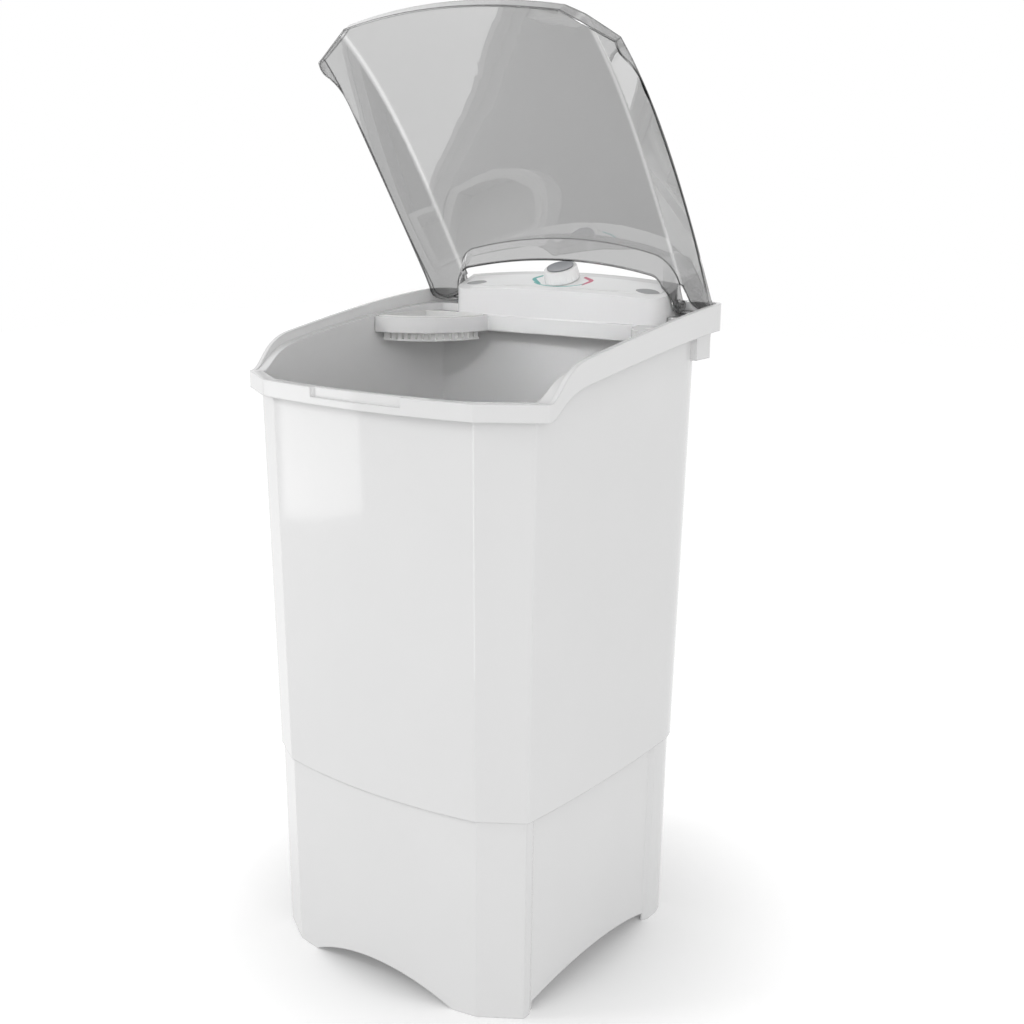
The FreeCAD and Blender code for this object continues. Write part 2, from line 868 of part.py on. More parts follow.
def apron_inside():
    """Room behind the apron, the pocket band and the dish pad's edge."""
    shallow = Vector(0, 0, bridge_top - bridge_thickness)
    behind = block(Vector(-reach, bridge_front + apron_thickness, 0), Vector(reach, reach, shallow.z))
    pocket = Vector(pocket_centre_x, bridge_front, 0)
    pad = Vector(dish_pad_centre_x, bridge_front, 0)
    rooms = [rod(pocket_radius - apron_thickness, pocket, pocket + shallow)]
    rooms.append(rod(dish_pad_radius - apron_thickness, pad, pad + shallow))
    return behind.fuse(rooms)


def pocket_opening():
    """Opening in the bridge, through which the lint basket drops in."""
    centre = Vector(pocket_centre_x, bridge_front, 0)
    round_part = rod(pocket_radius - pocket_rim_width, centre, raised(centre, reach * 3))
    front = block(Vector(-reach, -reach, 0), Vector(reach, bridge_front - pocket_rim_width, reach * 3))
    room = tub_solid(floor_top, rim_rear_top, tub_wall + bridge_side_gap + pocket_rim_width)
    return round_part.common(front).common(room)


def dish_scoop():
    """Shallow round dish in the pad at the rear right."""
    middle = dish_pad_centre_x - dish_pad_radius / 3
    height = bridge_top - dish_pad_depth / 2 + dish_sphere_radius
    ball = Part.makeSphere(dish_sphere_radius, Vector(middle, bridge_front - dish_pad_radius / 3, height))
    ahead = block(Vector(-reach, -reach, 0), Vector(reach, console_front - console_front_bow, reach * 3))
    return ball.common(ahead)


def knob_seat():
    """Point of the console's top under the knob's axis."""
    height = console_front_height + console_crown + (knob_y - console_front) * rise_tan
    return Vector(0, knob_y, height)


def tilted(shape):
    """Turns a piece that was drawn upright over the origin onto the console's top."""
    shape.rotate(Vector(0, 0, 0), Vector(1, 0, 0), console_tilt_angle)
    shape.translate(knob_seat())
    return shape


def spindle_hole():
    low = Vector(0, 0, -reach / 10)
    return tilted(rod(spindle_radius + 1, low, Vector(0, 0, reach / 10)))


def timer_screw_points():
    """Two posts, one at each end of the timer."""
    x = timer_length / 2 + timer_ear / 2
    return [Vector(-x, 0, 0), Vector(x, 0, 0)]


def timer_post_length():
    """From the console's underside to the timer's ears, at the crown's fall beside the knob."""
    return console_wall + 3.0


def timer_post(point):
    low = raised(point, -timer_post_length())
    return tilted(rod(timer_post_radius, low, raised(point, 0)))


def timer_screw_hole(point):
    low = raised(point, -timer_post_length())
    return tilted(rod(timer_screw_radius + screw_gap, low, raised(point, -console_wall)))


def console_screw_points():
    """Four screws up through the rear deck into the console, clear of the timer and the wires."""
    x = console_half_length - console_end_radius
    y = (rear_face(ledge_rear) + console_rear) / 2
    return [Vector(side * x * share, y, 0) for side in (-1, 1) for share in (1, 0.5)]


def console_boss(point):
    low = raised(point, ledge_rear + console_seat_gap)
    return rod(console_boss_radius, low, raised(point, reach * 3)).common(console_roof(-console_wall / 2))


def console_screw_hole(point):
    return screw_hole(raised(point, ledge_rear + console_seat_gap), console_screw_depth)


def hinge_socket(side):
    """Blind hole in the console's end for a hinge pin."""
    start = Vector(side * console_half_length, hinge_y, hinge_z)
    return rod(hinge_pin_radius, start - Vector(side * hinge_pin_depth, 0, 0), start)


def hinge_boss(side):
    """Boss inside the console's end, round the hinge pin's socket."""
    start = Vector(side * (console_half_length - console_wall / 2), hinge_y, hinge_z)
    return rod(hinge_boss_radius, start - Vector(side * hinge_pin_depth, 0, 0), start)


def make_hinge_pins():
    pins = []
    for side in (-1, 1):
        start = Vector(side * (console_half_length - hinge_pin_depth), hinge_y, hinge_z)
        pins.append(rod(hinge_pin_radius, start, start + Vector(side * hinge_pin_length, 0, 0)))
    return Part.makeCompound(pins)


def make_overlay():
    """Printed film on the console's top, inside its rounded edge."""
    plan = console_plan(-overlay_margin, bridge_top, reach * 3)
    film = plan.common(console_roof(overlay_thickness).cut(console_roof(0)))
    return film.cut(spindle_hole())


def make_lint_basket():
    """Quarter-round basket: a flange on the pocket's rim, a slotted wall and a floor."""
    centre = Vector(pocket_centre_x, bridge_front, 0)
    outer = basket_form(basket_gap, basket_floor, bridge_top)
    inner = basket_form(basket_gap + basket_wall, basket_floor + basket_wall, bridge_top)
    flange = basket_form(basket_gap - pocket_rim_width / 2, bridge_top, bridge_top + basket_flange_thickness)
    mouth = basket_form(basket_gap + basket_wall, bridge_top, bridge_top + basket_flange_thickness)
    basket = fused([outer.cut(inner), flange.cut(mouth)])
    step = 90.0 / (basket_slot_count + 1)
    slots = []
    for index in range(basket_slot_count):
        slot = block(
            Vector(pocket_radius / 2, -basket_slot_width / 2, basket_slot_bottom),
            Vector(pocket_radius * 2, basket_slot_width / 2, basket_slot_top),
        )
        slot.rotate(Vector(0, 0, 0), Vector(0, 0, 1), -step * (index + 1))
        slot.translate(centre)
        slots.append(slot)
    return basket.cut(slots)


def basket_form(inset, bottom, top):
    """Quarter-round form that fits the pocket's opening with an inset."""
    centre = Vector(pocket_centre_x, bridge_front, bottom)
    radius = pocket_radius - pocket_rim_width - inset
    round_part = rod(radius, centre, raised(centre, top))
    front = block(Vector(-reach, -reach, bottom), Vector(reach, bridge_front - pocket_rim_width - inset, top))
    room = tub_solid(floor_top, rim_rear_top, tub_wall + bridge_side_gap + pocket_rim_width + inset)
    return round_part.common(front).common(room)


def make_knob():
    """Hollow knob with a gripped rim, drawn upright and then tilted onto the console."""
    low = overlay_thickness + knob_gap
    top = low + knob_height
    body = turned([
        (0, low),
        (knob_radius, low),
        (knob_radius, low + knob_height / 5),
        (knob_top_radius, top - knob_wall / 2),
        (knob_top_radius - knob_wall / 2, top),
        (0, top),
    ])
    hollow = turned([
        (spindle_radius + knob_wall, low),
        (knob_top_radius - knob_wall, low),
        (knob_top_radius - knob_wall, top - knob_wall),
        (spindle_radius + knob_wall, top - knob_wall),
    ])
    knob = body.cut(hollow)
    grips = []
    for index in range(knob_grip_count):
        foot = polar(Vector(0, 0, 0), knob_radius + knob_grip_radius / 2, 360.0 * index / knob_grip_count)
        grips.append(rod(knob_grip_radius, raised(foot, low), raised(foot, top)))
    grips.append(spindle_form(low, top - knob_wall, spindle_gap))
    return tilted(knob.cut(grips))


def spindle_form(bottom, top, gap):
    """Spindle end with one flat, upright over the origin."""
    round_part = rod(spindle_radius + gap, Vector(0, 0, bottom), Vector(0, 0, top))
    keep = block(Vector(-reach, -reach, bottom), Vector(reach, spindle_flat + gap, top))
    return round_part.common(keep)


def make_spindle():
    low = -timer_post_length() - timer_height / 2
    high = overlay_thickness + knob_gap + knob_height - knob_wall - spindle_gap
    lower = rod(spindle_radius, Vector(0, 0, low), Vector(0, 0, overlay_thickness))
    upper = spindle_form(overlay_thickness, high, 0)
    return tilted(fused([lower, upper]))


def make_timer():
    """Timer case with an ear at each end and a well for its spindle."""
    ears = -timer_post_length()
    case = block(
        Vector(-timer_length / 2, -timer_depth / 2, ears - timer_height),
        Vector(timer_length / 2, timer_depth / 2, ears),
    )
    rounded = [edge for edge in case.Edges if edge.BoundBox.ZLength > timer_height / 2]
    case = case.makeFillet(timer_ear_thickness * 2, rounded)
    strap_half = timer_length / 2 + timer_ear
    strap = block(
        Vector(-strap_half, -timer_ear, ears - timer_ear_thickness),
        Vector(strap_half, timer_ear, ears),
    )
    well_low = Vector(0, 0, ears - timer_height / 2 - running_gap)
    holes = [rod(spindle_radius + running_gap, well_low, Vector(0, 0, ears))]
    for point in timer_screw_points():
        low = raised(point, ears - timer_ear_thickness)
        holes.append(rod(timer_screw_radius + screw_gap, low, raised(point, ears)))
    return tilted(fused([case, strap]).cut(holes))


def screw(foot, length, radius):
    """Pan-head screw that points up, with its head's upper face at the foot."""
    shank = rod(radius, foot, foot + Vector(0, 0, length))
    head = turned([
        (0, -screw_head_height),
        (screw_head_radius * 0.7, -screw_head_height),
        (screw_head_radius, -screw_head_height / 3),
        (screw_head_radius, 0),
        (0, 0),
    ])
    head.translate(foot)
    return fused([shank, head])


def make_timer_screws():
    ears = -timer_post_length() - timer_ear_thickness
    length = timer_ear_thickness + timer_post_length() - console_wall
    screws = []
    for point in timer_screw_points():
        screws.append(tilted(screw(raised(point, ears), length, timer_screw_radius)))
    return Part.makeCompound(screws)


def screw_group(points, foot, length):
    """The same screw at several places, pointing up."""
    return Part.makeCompound([screw(raised(point, foot), length, screw_radius) for point in points])


def make_console_screws():
    foot = ledge_rear - ledge_thickness
    length = ledge_thickness + console_seat_gap + console_screw_depth - screw_gap
    return screw_group(console_screw_points(), foot, length)


def make_base_screws():
    foot = flange_top - flange_thickness
    length = flange_thickness + base_screw_depth - screw_gap
    return screw_group(base_screw_points(), foot, length)


def lid_plan(inset, bottom, top):
    """Lid plan: near the rim's outer edge at the front, inside the upstand at the sides and rear."""
    side = -(upstand_thickness + lid_side_gap + inset)
    front = -(lid_front_gap + inset)
    spread = [front, front, side, side, side, side, side, front]
    wire = loop_wire(offset_corners(rim_corners(), spread), RIM_BOWS, bottom)
    return Part.Face(wire).extrude(Vector(0, 0, top - bottom))


def under_patch(rows, columns):
    """Everything under a smooth patch. Each row of pole heights runs across the machine."""
    patch = Part.BezierSurface()
    patch.increase(len(rows) - 1, len(columns) - 1)
    spacing = 2 * lid_reach / (len(rows) - 1)
    for row, heights in enumerate(rows):
        for column, height in enumerate(heights):
            pole = Vector(columns[column], row * spacing - lid_reach, height)
            patch.setPole(row + 1, column + 1, pole)
    return patch.toShape().extrude(Vector(0, 0, -reach))


def under_dome(lift):
    """Everything under the lid's panel and the two sloping borders that fold down from it."""
    spread = (lid_reach / lid_fold_x) ** 2
    panel = []
    border = []
    rise = lid_border_slope * lid_fold_x
    fall = lid_border_slope * (lid_reach - lid_fold_x)
    for crown, drop in LID_POLES:
        edge = crown - drop * spread + lift
        fold = crown - drop + lift
        panel.append([edge, crown + drop * spread + lift, edge])
        border.append([fold + rise, fold - fall])
    dome = under_patch(panel, [-lid_reach, 0, lid_reach])
    dome = dome.common(under_patch(border, [0, lid_reach]).fuse(left_half()))
    mirrored = [list(reversed(heights)) for heights in border]
    dome = dome.common(under_patch(mirrored, [-lid_reach, 0]).fuse(right_half()))
    folds = [edge for edge in dome.Edges if is_fold(edge)]
    return dome.makeFillet(lid_fold_radius, folds)


def left_half():
    return block(Vector(-reach, -reach, 0), Vector(0, reach, reach * 3))


def right_half():
    return block(Vector(0, -reach, 0), Vector(reach, reach, reach * 3))


def is_fold(edge):
    """A long edge on the dome's top, near the fold."""
    box = edge.BoundBox
    middle = abs(box.XMin + box.XMax) / 2
    on_top = box.ZMax > rim_rear_top
    return box.YLength > lid_reach and abs(middle - lid_fold_x) < lid_fold_x / 4 and on_top


def lid_notch(grow):
    """Room for the console at the lid's rear, behind a face that leans back towards its top."""
    half = console_half_length + lid_notch_gap + grow
    lean = (lid_rear_edge_y - lid_rear_top_y) / (lid_rear_top_z - lid_arch_bottom)
    shift = grow * math.sqrt(1 + lean ** 2)
    low_y = lid_rear_edge_y + lean * (lid_arch_bottom - floor_top) - shift
    high_y = lid_rear_edge_y + lean * (lid_arch_bottom - reach * 3) - shift
    profile = [
        Vector(-half, low_y, floor_top),
        Vector(-half, reach * 2, floor_top),
        Vector(-half, reach * 2, reach * 3),
        Vector(-half, high_y, reach * 3),
    ]
    notch = Part.Face(Part.makePolygon(profile + profile[:1])).extrude(Vector(2 * half, 0, 0))
    fronts = [
        edge for edge in notch.Edges
        if edge.BoundBox.ZLength > reach and edge.BoundBox.YLength > reach / 2
    ]
    return notch.makeFillet(console_end_radius + lid_notch_gap + grow, fronts)


def lid_arch():
    """Cuts the rear wall's lower edge to an arch over the console."""
    half = console_half_length
    start = Vector(-half, 0, lid_arch_end)
    end = Vector(half, 0, lid_arch_end)
    curve = Part.Arc(start, Vector(0, 0, lid_arch_bottom), end).toShape()
    low = [Vector(half, 0, floor_top), Vector(-half, 0, floor_top)]
    sides = [
        Part.LineSegment(end, low[0]).toShape(),
        Part.LineSegment(low[0], low[1]).toShape(),
        Part.LineSegment(low[1], start).toShape(),
    ]
    face = Part.Face(Part.Wire(Part.sortEdges([curve] + sides)[0]))
    face.translate(Vector(0, lid_rear_top_y - lid_wall * 3, 0))
    cutter = face.extrude(Vector(0, reach, 0))
    shoulders = [
        edge for edge in cutter.Edges
        if edge.BoundBox.YLength > reach / 2 and edge.BoundBox.ZMin > floor_top + 1
    ]
    return cutter.makeFillet(lid_arch_radius, shoulders)


def hinge_end_cut():
    """Trims the lid's two arms round the hinge axis, so that they turn clear of the rim."""
    top = hinge_z + hinge_end_radius
    start_y = hinge_y - hinge_end_radius * 2
    area = block(Vector(-reach, start_y, floor_top), Vector(reach, reach, reach * 3))
    keep_front = block(Vector(-reach, start_y, floor_top), Vector(reach, hinge_y, top))
    keep_end = rod(hinge_end_radius, Vector(-reach, hinge_y, hinge_z), Vector(reach, hinge_y, hinge_z))
    return area.cut(keep_front.fuse(keep_end))


def make_lid():
    """Shell with a domed panel, edge walls, a rear wall round the console and two hinge bosses."""
    seat = slab_between(flat_line(0), ledge_line(lid_seat_gap))
    outer = lid_plan(0, floor_top, reach * 3).common(under_dome(0)).cut(lid_notch(0))
    inner = lid_plan(lid_wall, floor_top, reach * 3).common(under_dome(-lid_wall)).cut(lid_notch(lid_wall))
    shell = outer.cut(inner).cut(seat).cut(lid_arch())
    bosses = []
    bores = []
    for side in (-1, 1):
        start = Vector(side * (console_half_length + lid_notch_gap), hinge_y, hinge_z)
        way = Vector(side, 0, 0)
        bosses.append(rod(hinge_boss_radius, start, start + way * hinge_boss_length))
        pin_end = hinge_pin_length - hinge_pin_depth - lid_notch_gap + hinge_gap
        bores.append(rod(hinge_pin_radius + hinge_gap, start, start + way * pin_end))
    lid = fused([shell.cut(hinge_end_cut())] + bosses).cut(bores)
    lid.rotate(Vector(0, hinge_y, hinge_z), Vector(1, 0, 0), -lid_open_angle)
    return lid


def dish_under():
    """Underside of the impeller dish, where the bearing housing is bolted."""
    return floor_top - dish_depth - floor_thickness


def make_bearing_housing():
    """Flanged hub with ribs, bored for two bushes and a seal."""
    top = dish_under()
    flange_low = top - housing_flange_thickness
    body = turned([
        (0, housing_hub_bottom),
        (housing_hub_radius, housing_hub_bottom),
        (housing_hub_radius, flange_low),
        (housing_flange_radius, flange_low),
        (housing_flange_radius, top),
        (housing_spigot_radius, top),
        (housing_spigot_radius, top + floor_thickness),
        (0, top + floor_thickness),
    ], 0, dish_centre_y)
    ribs = []
    for index in range(housing_rib_count):
        rib = Part.Face(Part.makePolygon([
            Vector(0, -floor_thickness / 2, housing_hub_bottom + bush_length / 2),
            Vector(housing_hub_radius, -floor_thickness / 2, housing_hub_bottom + bush_length / 2),
            Vector(housing_flange_radius - floor_thickness, -floor_thickness / 2, flange_low),
            Vector(0, -floor_thickness / 2, flange_low),
            Vector(0, -floor_thickness / 2, housing_hub_bottom + bush_length / 2),
        ])).extrude(Vector(0, floor_thickness, 0))
        rib.rotate(Vector(0, 0, 0), Vector(0, 0, 1), 360.0 * index / housing_rib_count)
        rib.translate(Vector(0, dish_centre_y, 0))
        ribs.append(rib)
    centre = Vector(0, dish_centre_y, 0)
    spigot_top = top + floor_thickness
    holes = [rod(shaft_radius + 1, raised(centre, housing_hub_bottom), raised(centre, spigot_top))]
    lower_bush_top = housing_hub_bottom + bush_length
    holes.append(rod(bush_radius, raised(centre, housing_hub_bottom), raised(centre, lower_bush_top)))
    holes.append(rod(bush_radius, raised(centre, upper_bush_bottom()), raised(centre, spigot_top)))
    holes.append(rod(seal_radius, raised(centre, spigot_top - seal_height), raised(centre, spigot_top)))
    for point in bearing_screw_points():
        holes.append(screw_hole(raised(point, flange_low), housing_flange_thickness))
    return fused([body] + ribs).cut(holes)


def upper_bush_bottom():
    return dish_under() + floor_thickness - seal_height - bush_length


def make_bush(bottom):
    centre = Vector(0, dish_centre_y, bottom)
    return tube(bush_radius, shaft_radius + running_gap, centre, raised(centre, bottom + bush_length))


def make_seal():
    """Lip seal in the top of the bearing housing."""
    top = dish_under() + floor_thickness
    low = top - seal_height
    bore = shaft_radius + running_gap
    return turned([
        (bore, low),
        (seal_radius, low),
        (seal_radius, top),
        (seal_radius - seal_height / 4, top),
        (bore + seal_height / 3, low + seal_height / 2),
        (bore, top - seal_height / 4),
    ], 0, dish_centre_y)


def make_bearing_screws():
    """Screws from the dish down into the bearing housing's flange, with a nut end below."""
    screws = []
    length = floor_thickness + housing_flange_thickness
    for point in bearing_screw_points():
        one = screw(Vector(0, 0, 0), length, screw_radius)
        one.rotate(Vector(0, 0, 0), Vector(1, 0, 0), 180)
        one.translate(raised(point, floor_top - dish_depth))
        screws.append(one)
    return Part.makeCompound(screws)


def pulley_top():
    """Top of the driven pulley's hub, under the thrust washer."""
    return housing_hub_bottom - washer_thickness


def shaft_bottom():
    return pulley_top() - driven_hub_height


def flatted(radius, flat, bottom, top):
    """Upright shaft end with one flat, on the impeller's axis."""
    centre = Vector(0, dish_centre_y, 0)
    round_part = rod(radius, raised(centre, bottom), raised(centre, top))
    keep = block(Vector(-reach, -reach, bottom), Vector(reach, dish_centre_y + flat, top))
    return round_part.common(keep)


def make_shaft():
    """Shaft with a flat at each end for the impeller and the pulley, and a thread for the nut."""
    centre = Vector(0, dish_centre_y, 0)
    flat_top = impeller_low()
    lower = flatted(shaft_radius, shaft_flat, shaft_bottom(), pulley_top())
    middle = rod(shaft_radius, raised(centre, pulley_top()), raised(centre, flat_top))
    upper = flatted(shaft_radius, shaft_flat, flat_top, shaft_top)
    thread_low = raised(centre, shaft_bottom() - shaft_thread_length)
    thread = rod(shaft_thread_radius, thread_low, raised(centre, shaft_bottom()))
    tap_low = raised(centre, shaft_top - impeller_screw_length)
    tap = rod(impeller_screw_radius, tap_low, raised(centre, shaft_top))
    return fused([lower, middle, upper, thread]).cut(tap)


def impeller_low():
    """Lower edge of the impeller, just over the dish floor."""
    return floor_top - dish_depth + impeller_gap


def make_impeller():
    """Domed disc with curved blades on top and a hub below, keyed to the shaft's flat."""
    low = impeller_low()
    rim_top = low + impeller_shell
    disc = turned([
        (0, low),
        (impeller_hub_radius, low),
        (impeller_hub_radius, rim_top + impeller_crown - impeller_shell),
        (impeller_radius - impeller_shell, rim_top - impeller_shell / 2),
        (impeller_radius - impeller_shell, low),
        (impeller_radius, low),
        (impeller_radius, rim_top),
        (impeller_hub_radius * 2, rim_top + impeller_crown),
        (0, rim_top + impeller_crown),
    ], 0, dish_centre_y)
    blades = []
    for index in range(impeller_blade_count):
        blade = impeller_blade(rim_top)
        blade.rotate(Vector(0, 0, 0), Vector(0, 0, 1), 360.0 * index / impeller_blade_count)
        blade.translate(Vector(0, dish_centre_y, 0))
        blades.append(blade)
    centre = Vector(0, dish_centre_y, 0)
    blade_top = rim_top + impeller_crown + impeller_blade_height
    head_room = rod(impeller_screw_head + 1, raised(centre, shaft_top), raised(centre, blade_top))
    bore = flatted(shaft_radius, shaft_flat, low, shaft_top)
    return fused([disc] + blades).cut([bore, head_room])


def impeller_blade(rim_top):
    """Blade that starts broad at the hub, bends back and dies away towards the rim."""
    inner = impeller_hub_radius * 1.2
    middle = impeller_radius * 0.55
    outer = impeller_radius * 0.93
    sections = []
    for radius, bend, share in ((inner, 0, 1.0), (middle, 8, 0.85), (outer, 30, 0.35)):
        half = impeller_blade_width * (0.4 + 0.6 * share) / 2
        height = rim_top + impeller_crown * (impeller_radius - radius) / impeller_radius
        top = height + impeller_blade_height * share
        foot = rim_top - impeller_shell / 3
        points = [
            Vector(radius, bend - half, foot),
            Vector(radius, bend + half, foot),
            Vector(radius, bend + half * 0.45, top),
            Vector(radius, bend - half * 0.45, top),
        ]
        sections.append(Part.makePolygon(points + points[:1]))
    return Part.makeLoft(sections, True, True)


def make_impeller_screw():
    """Dome-head screw that holds the impeller on the shaft."""
    centre = Vector(0, dish_centre_y, 0)
    shank_low = shaft_top - impeller_screw_length + running_gap
    shank = rod(impeller_screw_radius, raised(centre, shank_low), raised(centre, shaft_top))
    head = turned([
        (0, shaft_top),
        (impeller_screw_head, shaft_top),
        (impeller_screw_head, shaft_top + screw_head_height),
        (impeller_screw_head / 2, shaft_top + screw_head_height * 2),
        (0, shaft_top + screw_head_height * 2),
    ], 0, dish_centre_y)
    return fused([shank, head])


def belt_section(grow):
    """Half widths of the belt's top and bottom, and its height, grown on every side."""
    slope = math.tan(math.radians(belt_half_angle))
    top = belt_top_width / 2 + grow
    bottom = top - (belt_height + grow) * slope
    return top, bottom


def grooved_profile(rim_radius):
    """Points of a pulley's rim from its upper face to its lower face, with the belt groove."""
    top, bottom = belt_section(belt_gap)
    floor_radius = rim_radius - belt_height - groove_floor_gap
    width = top + groove_flank
    return [
        (rim_radius, belt_centre_height + width),
        (rim_radius, belt_centre_height + top),
        (floor_radius, belt_centre_height + bottom),
        (floor_radius, belt_centre_height - bottom),
        (rim_radius, belt_centre_height - top),
        (rim_radius, belt_centre_height - width),
    ]


def make_driven_pulley():
    """Large pulley: grooved rim, thin web with round holes, and a keyed hub."""
    rim = grooved_profile(driven_pulley_radius)
    rim_inside = driven_pulley_radius - driven_rim_depth
    web_half = driven_web / 2
    hub_low = shaft_bottom()
    pulley = turned([
        (0, pulley_top()),
        (driven_hub_radius, pulley_top()),
        (driven_hub_radius, belt_centre_height + web_half),
        (rim_inside, belt_centre_height + web_half),
        (rim_inside, rim[0][1]),
    ] + rim + [
        (rim_inside, rim[-1][1]),
        (rim_inside, belt_centre_height - web_half),
        (driven_hub_radius, belt_centre_height - web_half),
        (driven_hub_radius, hub_low),
        (0, hub_low),
    ], 0, dish_centre_y)
    centre = Vector(0, dish_centre_y, 0)
    holes = [flatted(shaft_radius, shaft_flat, hub_low, pulley_top())]
    middle = (driven_hub_radius + rim_inside) / 2
    for index in range(driven_hole_count):
        point = polar(centre, middle, 360.0 * index / driven_hole_count)
        low = raised(point, belt_centre_height - driven_web)
        holes.append(rod(driven_hole_radius, low, raised(point, belt_centre_height + driven_web)))
    return pulley.cut(holes)


def make_thrust_washer():
    centre = Vector(0, dish_centre_y, pulley_top())
    return tube(bush_radius + 2, shaft_radius + running_gap, centre, raised(centre, housing_hub_bottom))


def make_pulley_nut():
    """Hexagon nut under the driven pulley."""
    centre = Vector(0, dish_centre_y, 0)
    corner = nut_across_flats / math.sqrt(3)
    high = shaft_bottom()
    points = [raised(polar(centre, corner, 60 * index), high - nut_height) for index in range(6)]
    nut = Part.Face(Part.makePolygon(points + points[:1])).extrude(Vector(0, 0, nut_height))
    return nut.cut(rod(shaft_thread_radius, raised(centre, high - nut_height), raised(centre, high)))


def belt_loop(large, small, height):
    """Closed wire round both pulleys at given radii: two arcs and two tangent runs."""
    centre = Vector(0, dish_centre_y, height)
    motor = raised(motor_axis(), height)
    lean = math.degrees(math.acos((large - small) / pulley_spacing))
    left = motor_direction_angle + lean
    right = motor_direction_angle - lean
    far = motor_direction_angle + 180
    big = [polar(centre, large, angle) for angle in (left, far, right)]
    little = [polar(motor, small, angle) for angle in (right, motor_direction_angle, left)]
    return Part.Wire([
        Part.Arc(big[0], big[1], big[2]).toShape(),
        Part.LineSegment(big[2], little[0]).toShape(),
        Part.Arc(little[0], little[1], little[2]).toShape(),
        Part.LineSegment(little[2], big[0]).toShape(),
    ])


def make_belt():
    """V-belt: a band round both pulleys, cut to flanks that slope like the grooves."""
    top, bottom = belt_section(0)
    large = driven_pulley_radius
    small = motor_pulley_radius
    low = belt_centre_height - top
    band = Part.Face(belt_loop(large, small, low)).extrude(Vector(0, 0, 2 * top))
    inner_large = large - belt_height
    inner_small = small - belt_height
    middle = belt_loop(inner_large, inner_small, belt_centre_height - bottom)
    cuts = [Part.Face(middle).extrude(Vector(0, 0, 2 * bottom))]
    for side in (-1, 1):
        wide = belt_loop(large, small, belt_centre_height + side * top)
        narrow = belt_loop(inner_large, inner_small, belt_centre_height + side * bottom)
        cuts.append(Part.makeLoft([wide, narrow], True, True))
    return band.cut(cuts)


def make_motor_pulley():
    """Small grooved pulley on the motor shaft."""
    axis = motor_axis()
    rim = grooved_profile(motor_pulley_radius)
    pulley = turned([(0, rim[0][1])] + rim + [(0, rim[-1][1])], axis.x, axis.y)
    low = rim[-1][1]
    return pulley.cut(rod(motor_shaft_radius, raised(axis, low), raised(axis, rim[0][1])))


def make_motor_shaft():
    axis = motor_axis()
    low = motor_bottom() - motor_shaft_tail
    high = grooved_profile(motor_pulley_radius)[0][1] + motor_shaft_radius / 2
    return rod(motor_shaft_radius, raised(axis, low), raised(axis, high))


def motor_top():
    return plate_top - plate_thickness


def motor_bottom():
    return motor_top() - motor_height


def motor_screw_points():
    """Four screws through the plate into the motor's end cap."""
    return [polar(motor_axis(), motor_lug_circle, 45 + 90 * step) for step in range(4)]


def make_motor():
    """Motor: two end caps with vents and a stator band that is set back between them."""
    axis = motor_axis()
    low = motor_bottom()
    high = motor_top()
    band_low = (low + high - motor_band_height) / 2
    band_high = band_low + motor_band_height
    inset = motor_radius - motor_band_inset
    body = turned([
        (0, low),
        (motor_radius - motor_band_inset * 2, low),
        (motor_radius, low + motor_band_inset * 2),
        (motor_radius, band_low),
        (inset, band_low),
        (inset, band_high),
        (motor_radius, band_high),
        (motor_radius, high),
        (0, high),
    ], axis.x, axis.y)
    holes = [rod(motor_shaft_radius + running_gap, raised(axis, low), raised(axis, high))]
    for point in motor_screw_points():
        holes.append(rod(motor_screw_radius, raised(point, high - motor_screw_depth), raised(point, high)))
    vent_low = low + motor_band_inset * 2
    for index in range(motor_vent_count):
        vent = block(
            Vector(inset, -motor_vent_width / 2, vent_low + motor_vent_width),
            Vector(motor_radius * 2, motor_vent_width / 2, band_low - motor_vent_width),
        )
        vent.rotate(Vector(0, 0, 0), Vector(0, 0, 1), 360.0 * index / motor_vent_count)
        vent.translate(axis)
        holes.append(vent)
    return body.cut(holes)


def capacitor_point():
    """Between the rear towers, beside the motor."""
    return polar(motor_axis(), capacitor_reach, motor_direction_angle - tower_spread_angle / 2)


def terminal_point():
    return polar(motor_axis(), capacitor_reach, terminal_angle)


def terminal_facing():
    """Direction in which the terminal block's wire entries look, towards the harness."""
    facing = Vector(harness_x(), harness_drop_y, 0) - terminal_point()
    facing.normalize()
    return facing


def plate_bar(point, half_width):
    """Round-ended arm of the motor plate from the motor's axis to a point."""
    axis = motor_axis()
    along = point - axis
    arm = block(
        Vector(0, -half_width, plate_top - plate_thickness),
        Vector(along.Length, half_width, plate_top),
    )
    arm.rotate(Vector(0, 0, 0), Vector(0, 0, 1), math.degrees(math.atan2(along.y, along.x)))
    arm.translate(axis)
    end = rod(half_width, raised(point, plate_top - plate_thickness), raised(point, plate_top))
    return arm.fuse(end)


def make_motor_plate():
    """Pressed plate that hangs the motor from the tub's towers."""
    axis = motor_axis()
    low = plate_top - plate_thickness
    disc = rod(motor_radius, raised(axis, low), raised(axis, plate_top))
    arms = [plate_bar(point, plate_margin) for point in tower_points()]
    arms.append(plate_bar(capacitor_point(), capacitor_radius + clip_wall * 2))
    arms.append(plate_bar(terminal_point(), terminal_length / 2 + clip_wall * 2))
    holes = [rod(plate_shaft_hole, raised(axis, low), raised(axis, plate_top))]
    for point in tower_points():
        holes.append(screw_hole(raised(point, low), plate_thickness))
    for point in motor_screw_points():
        holes.append(rod(motor_screw_radius + screw_gap, raised(point, low), raised(point, plate_top)))
    return fused([disc] + arms).cut(holes)


def make_plate_screws():
    """Screws up through the plate into the towers."""
    low = plate_top - plate_thickness
    length = plate_thickness + tower_hole_depth - screw_gap
    return screw_group(tower_points(), low, length)


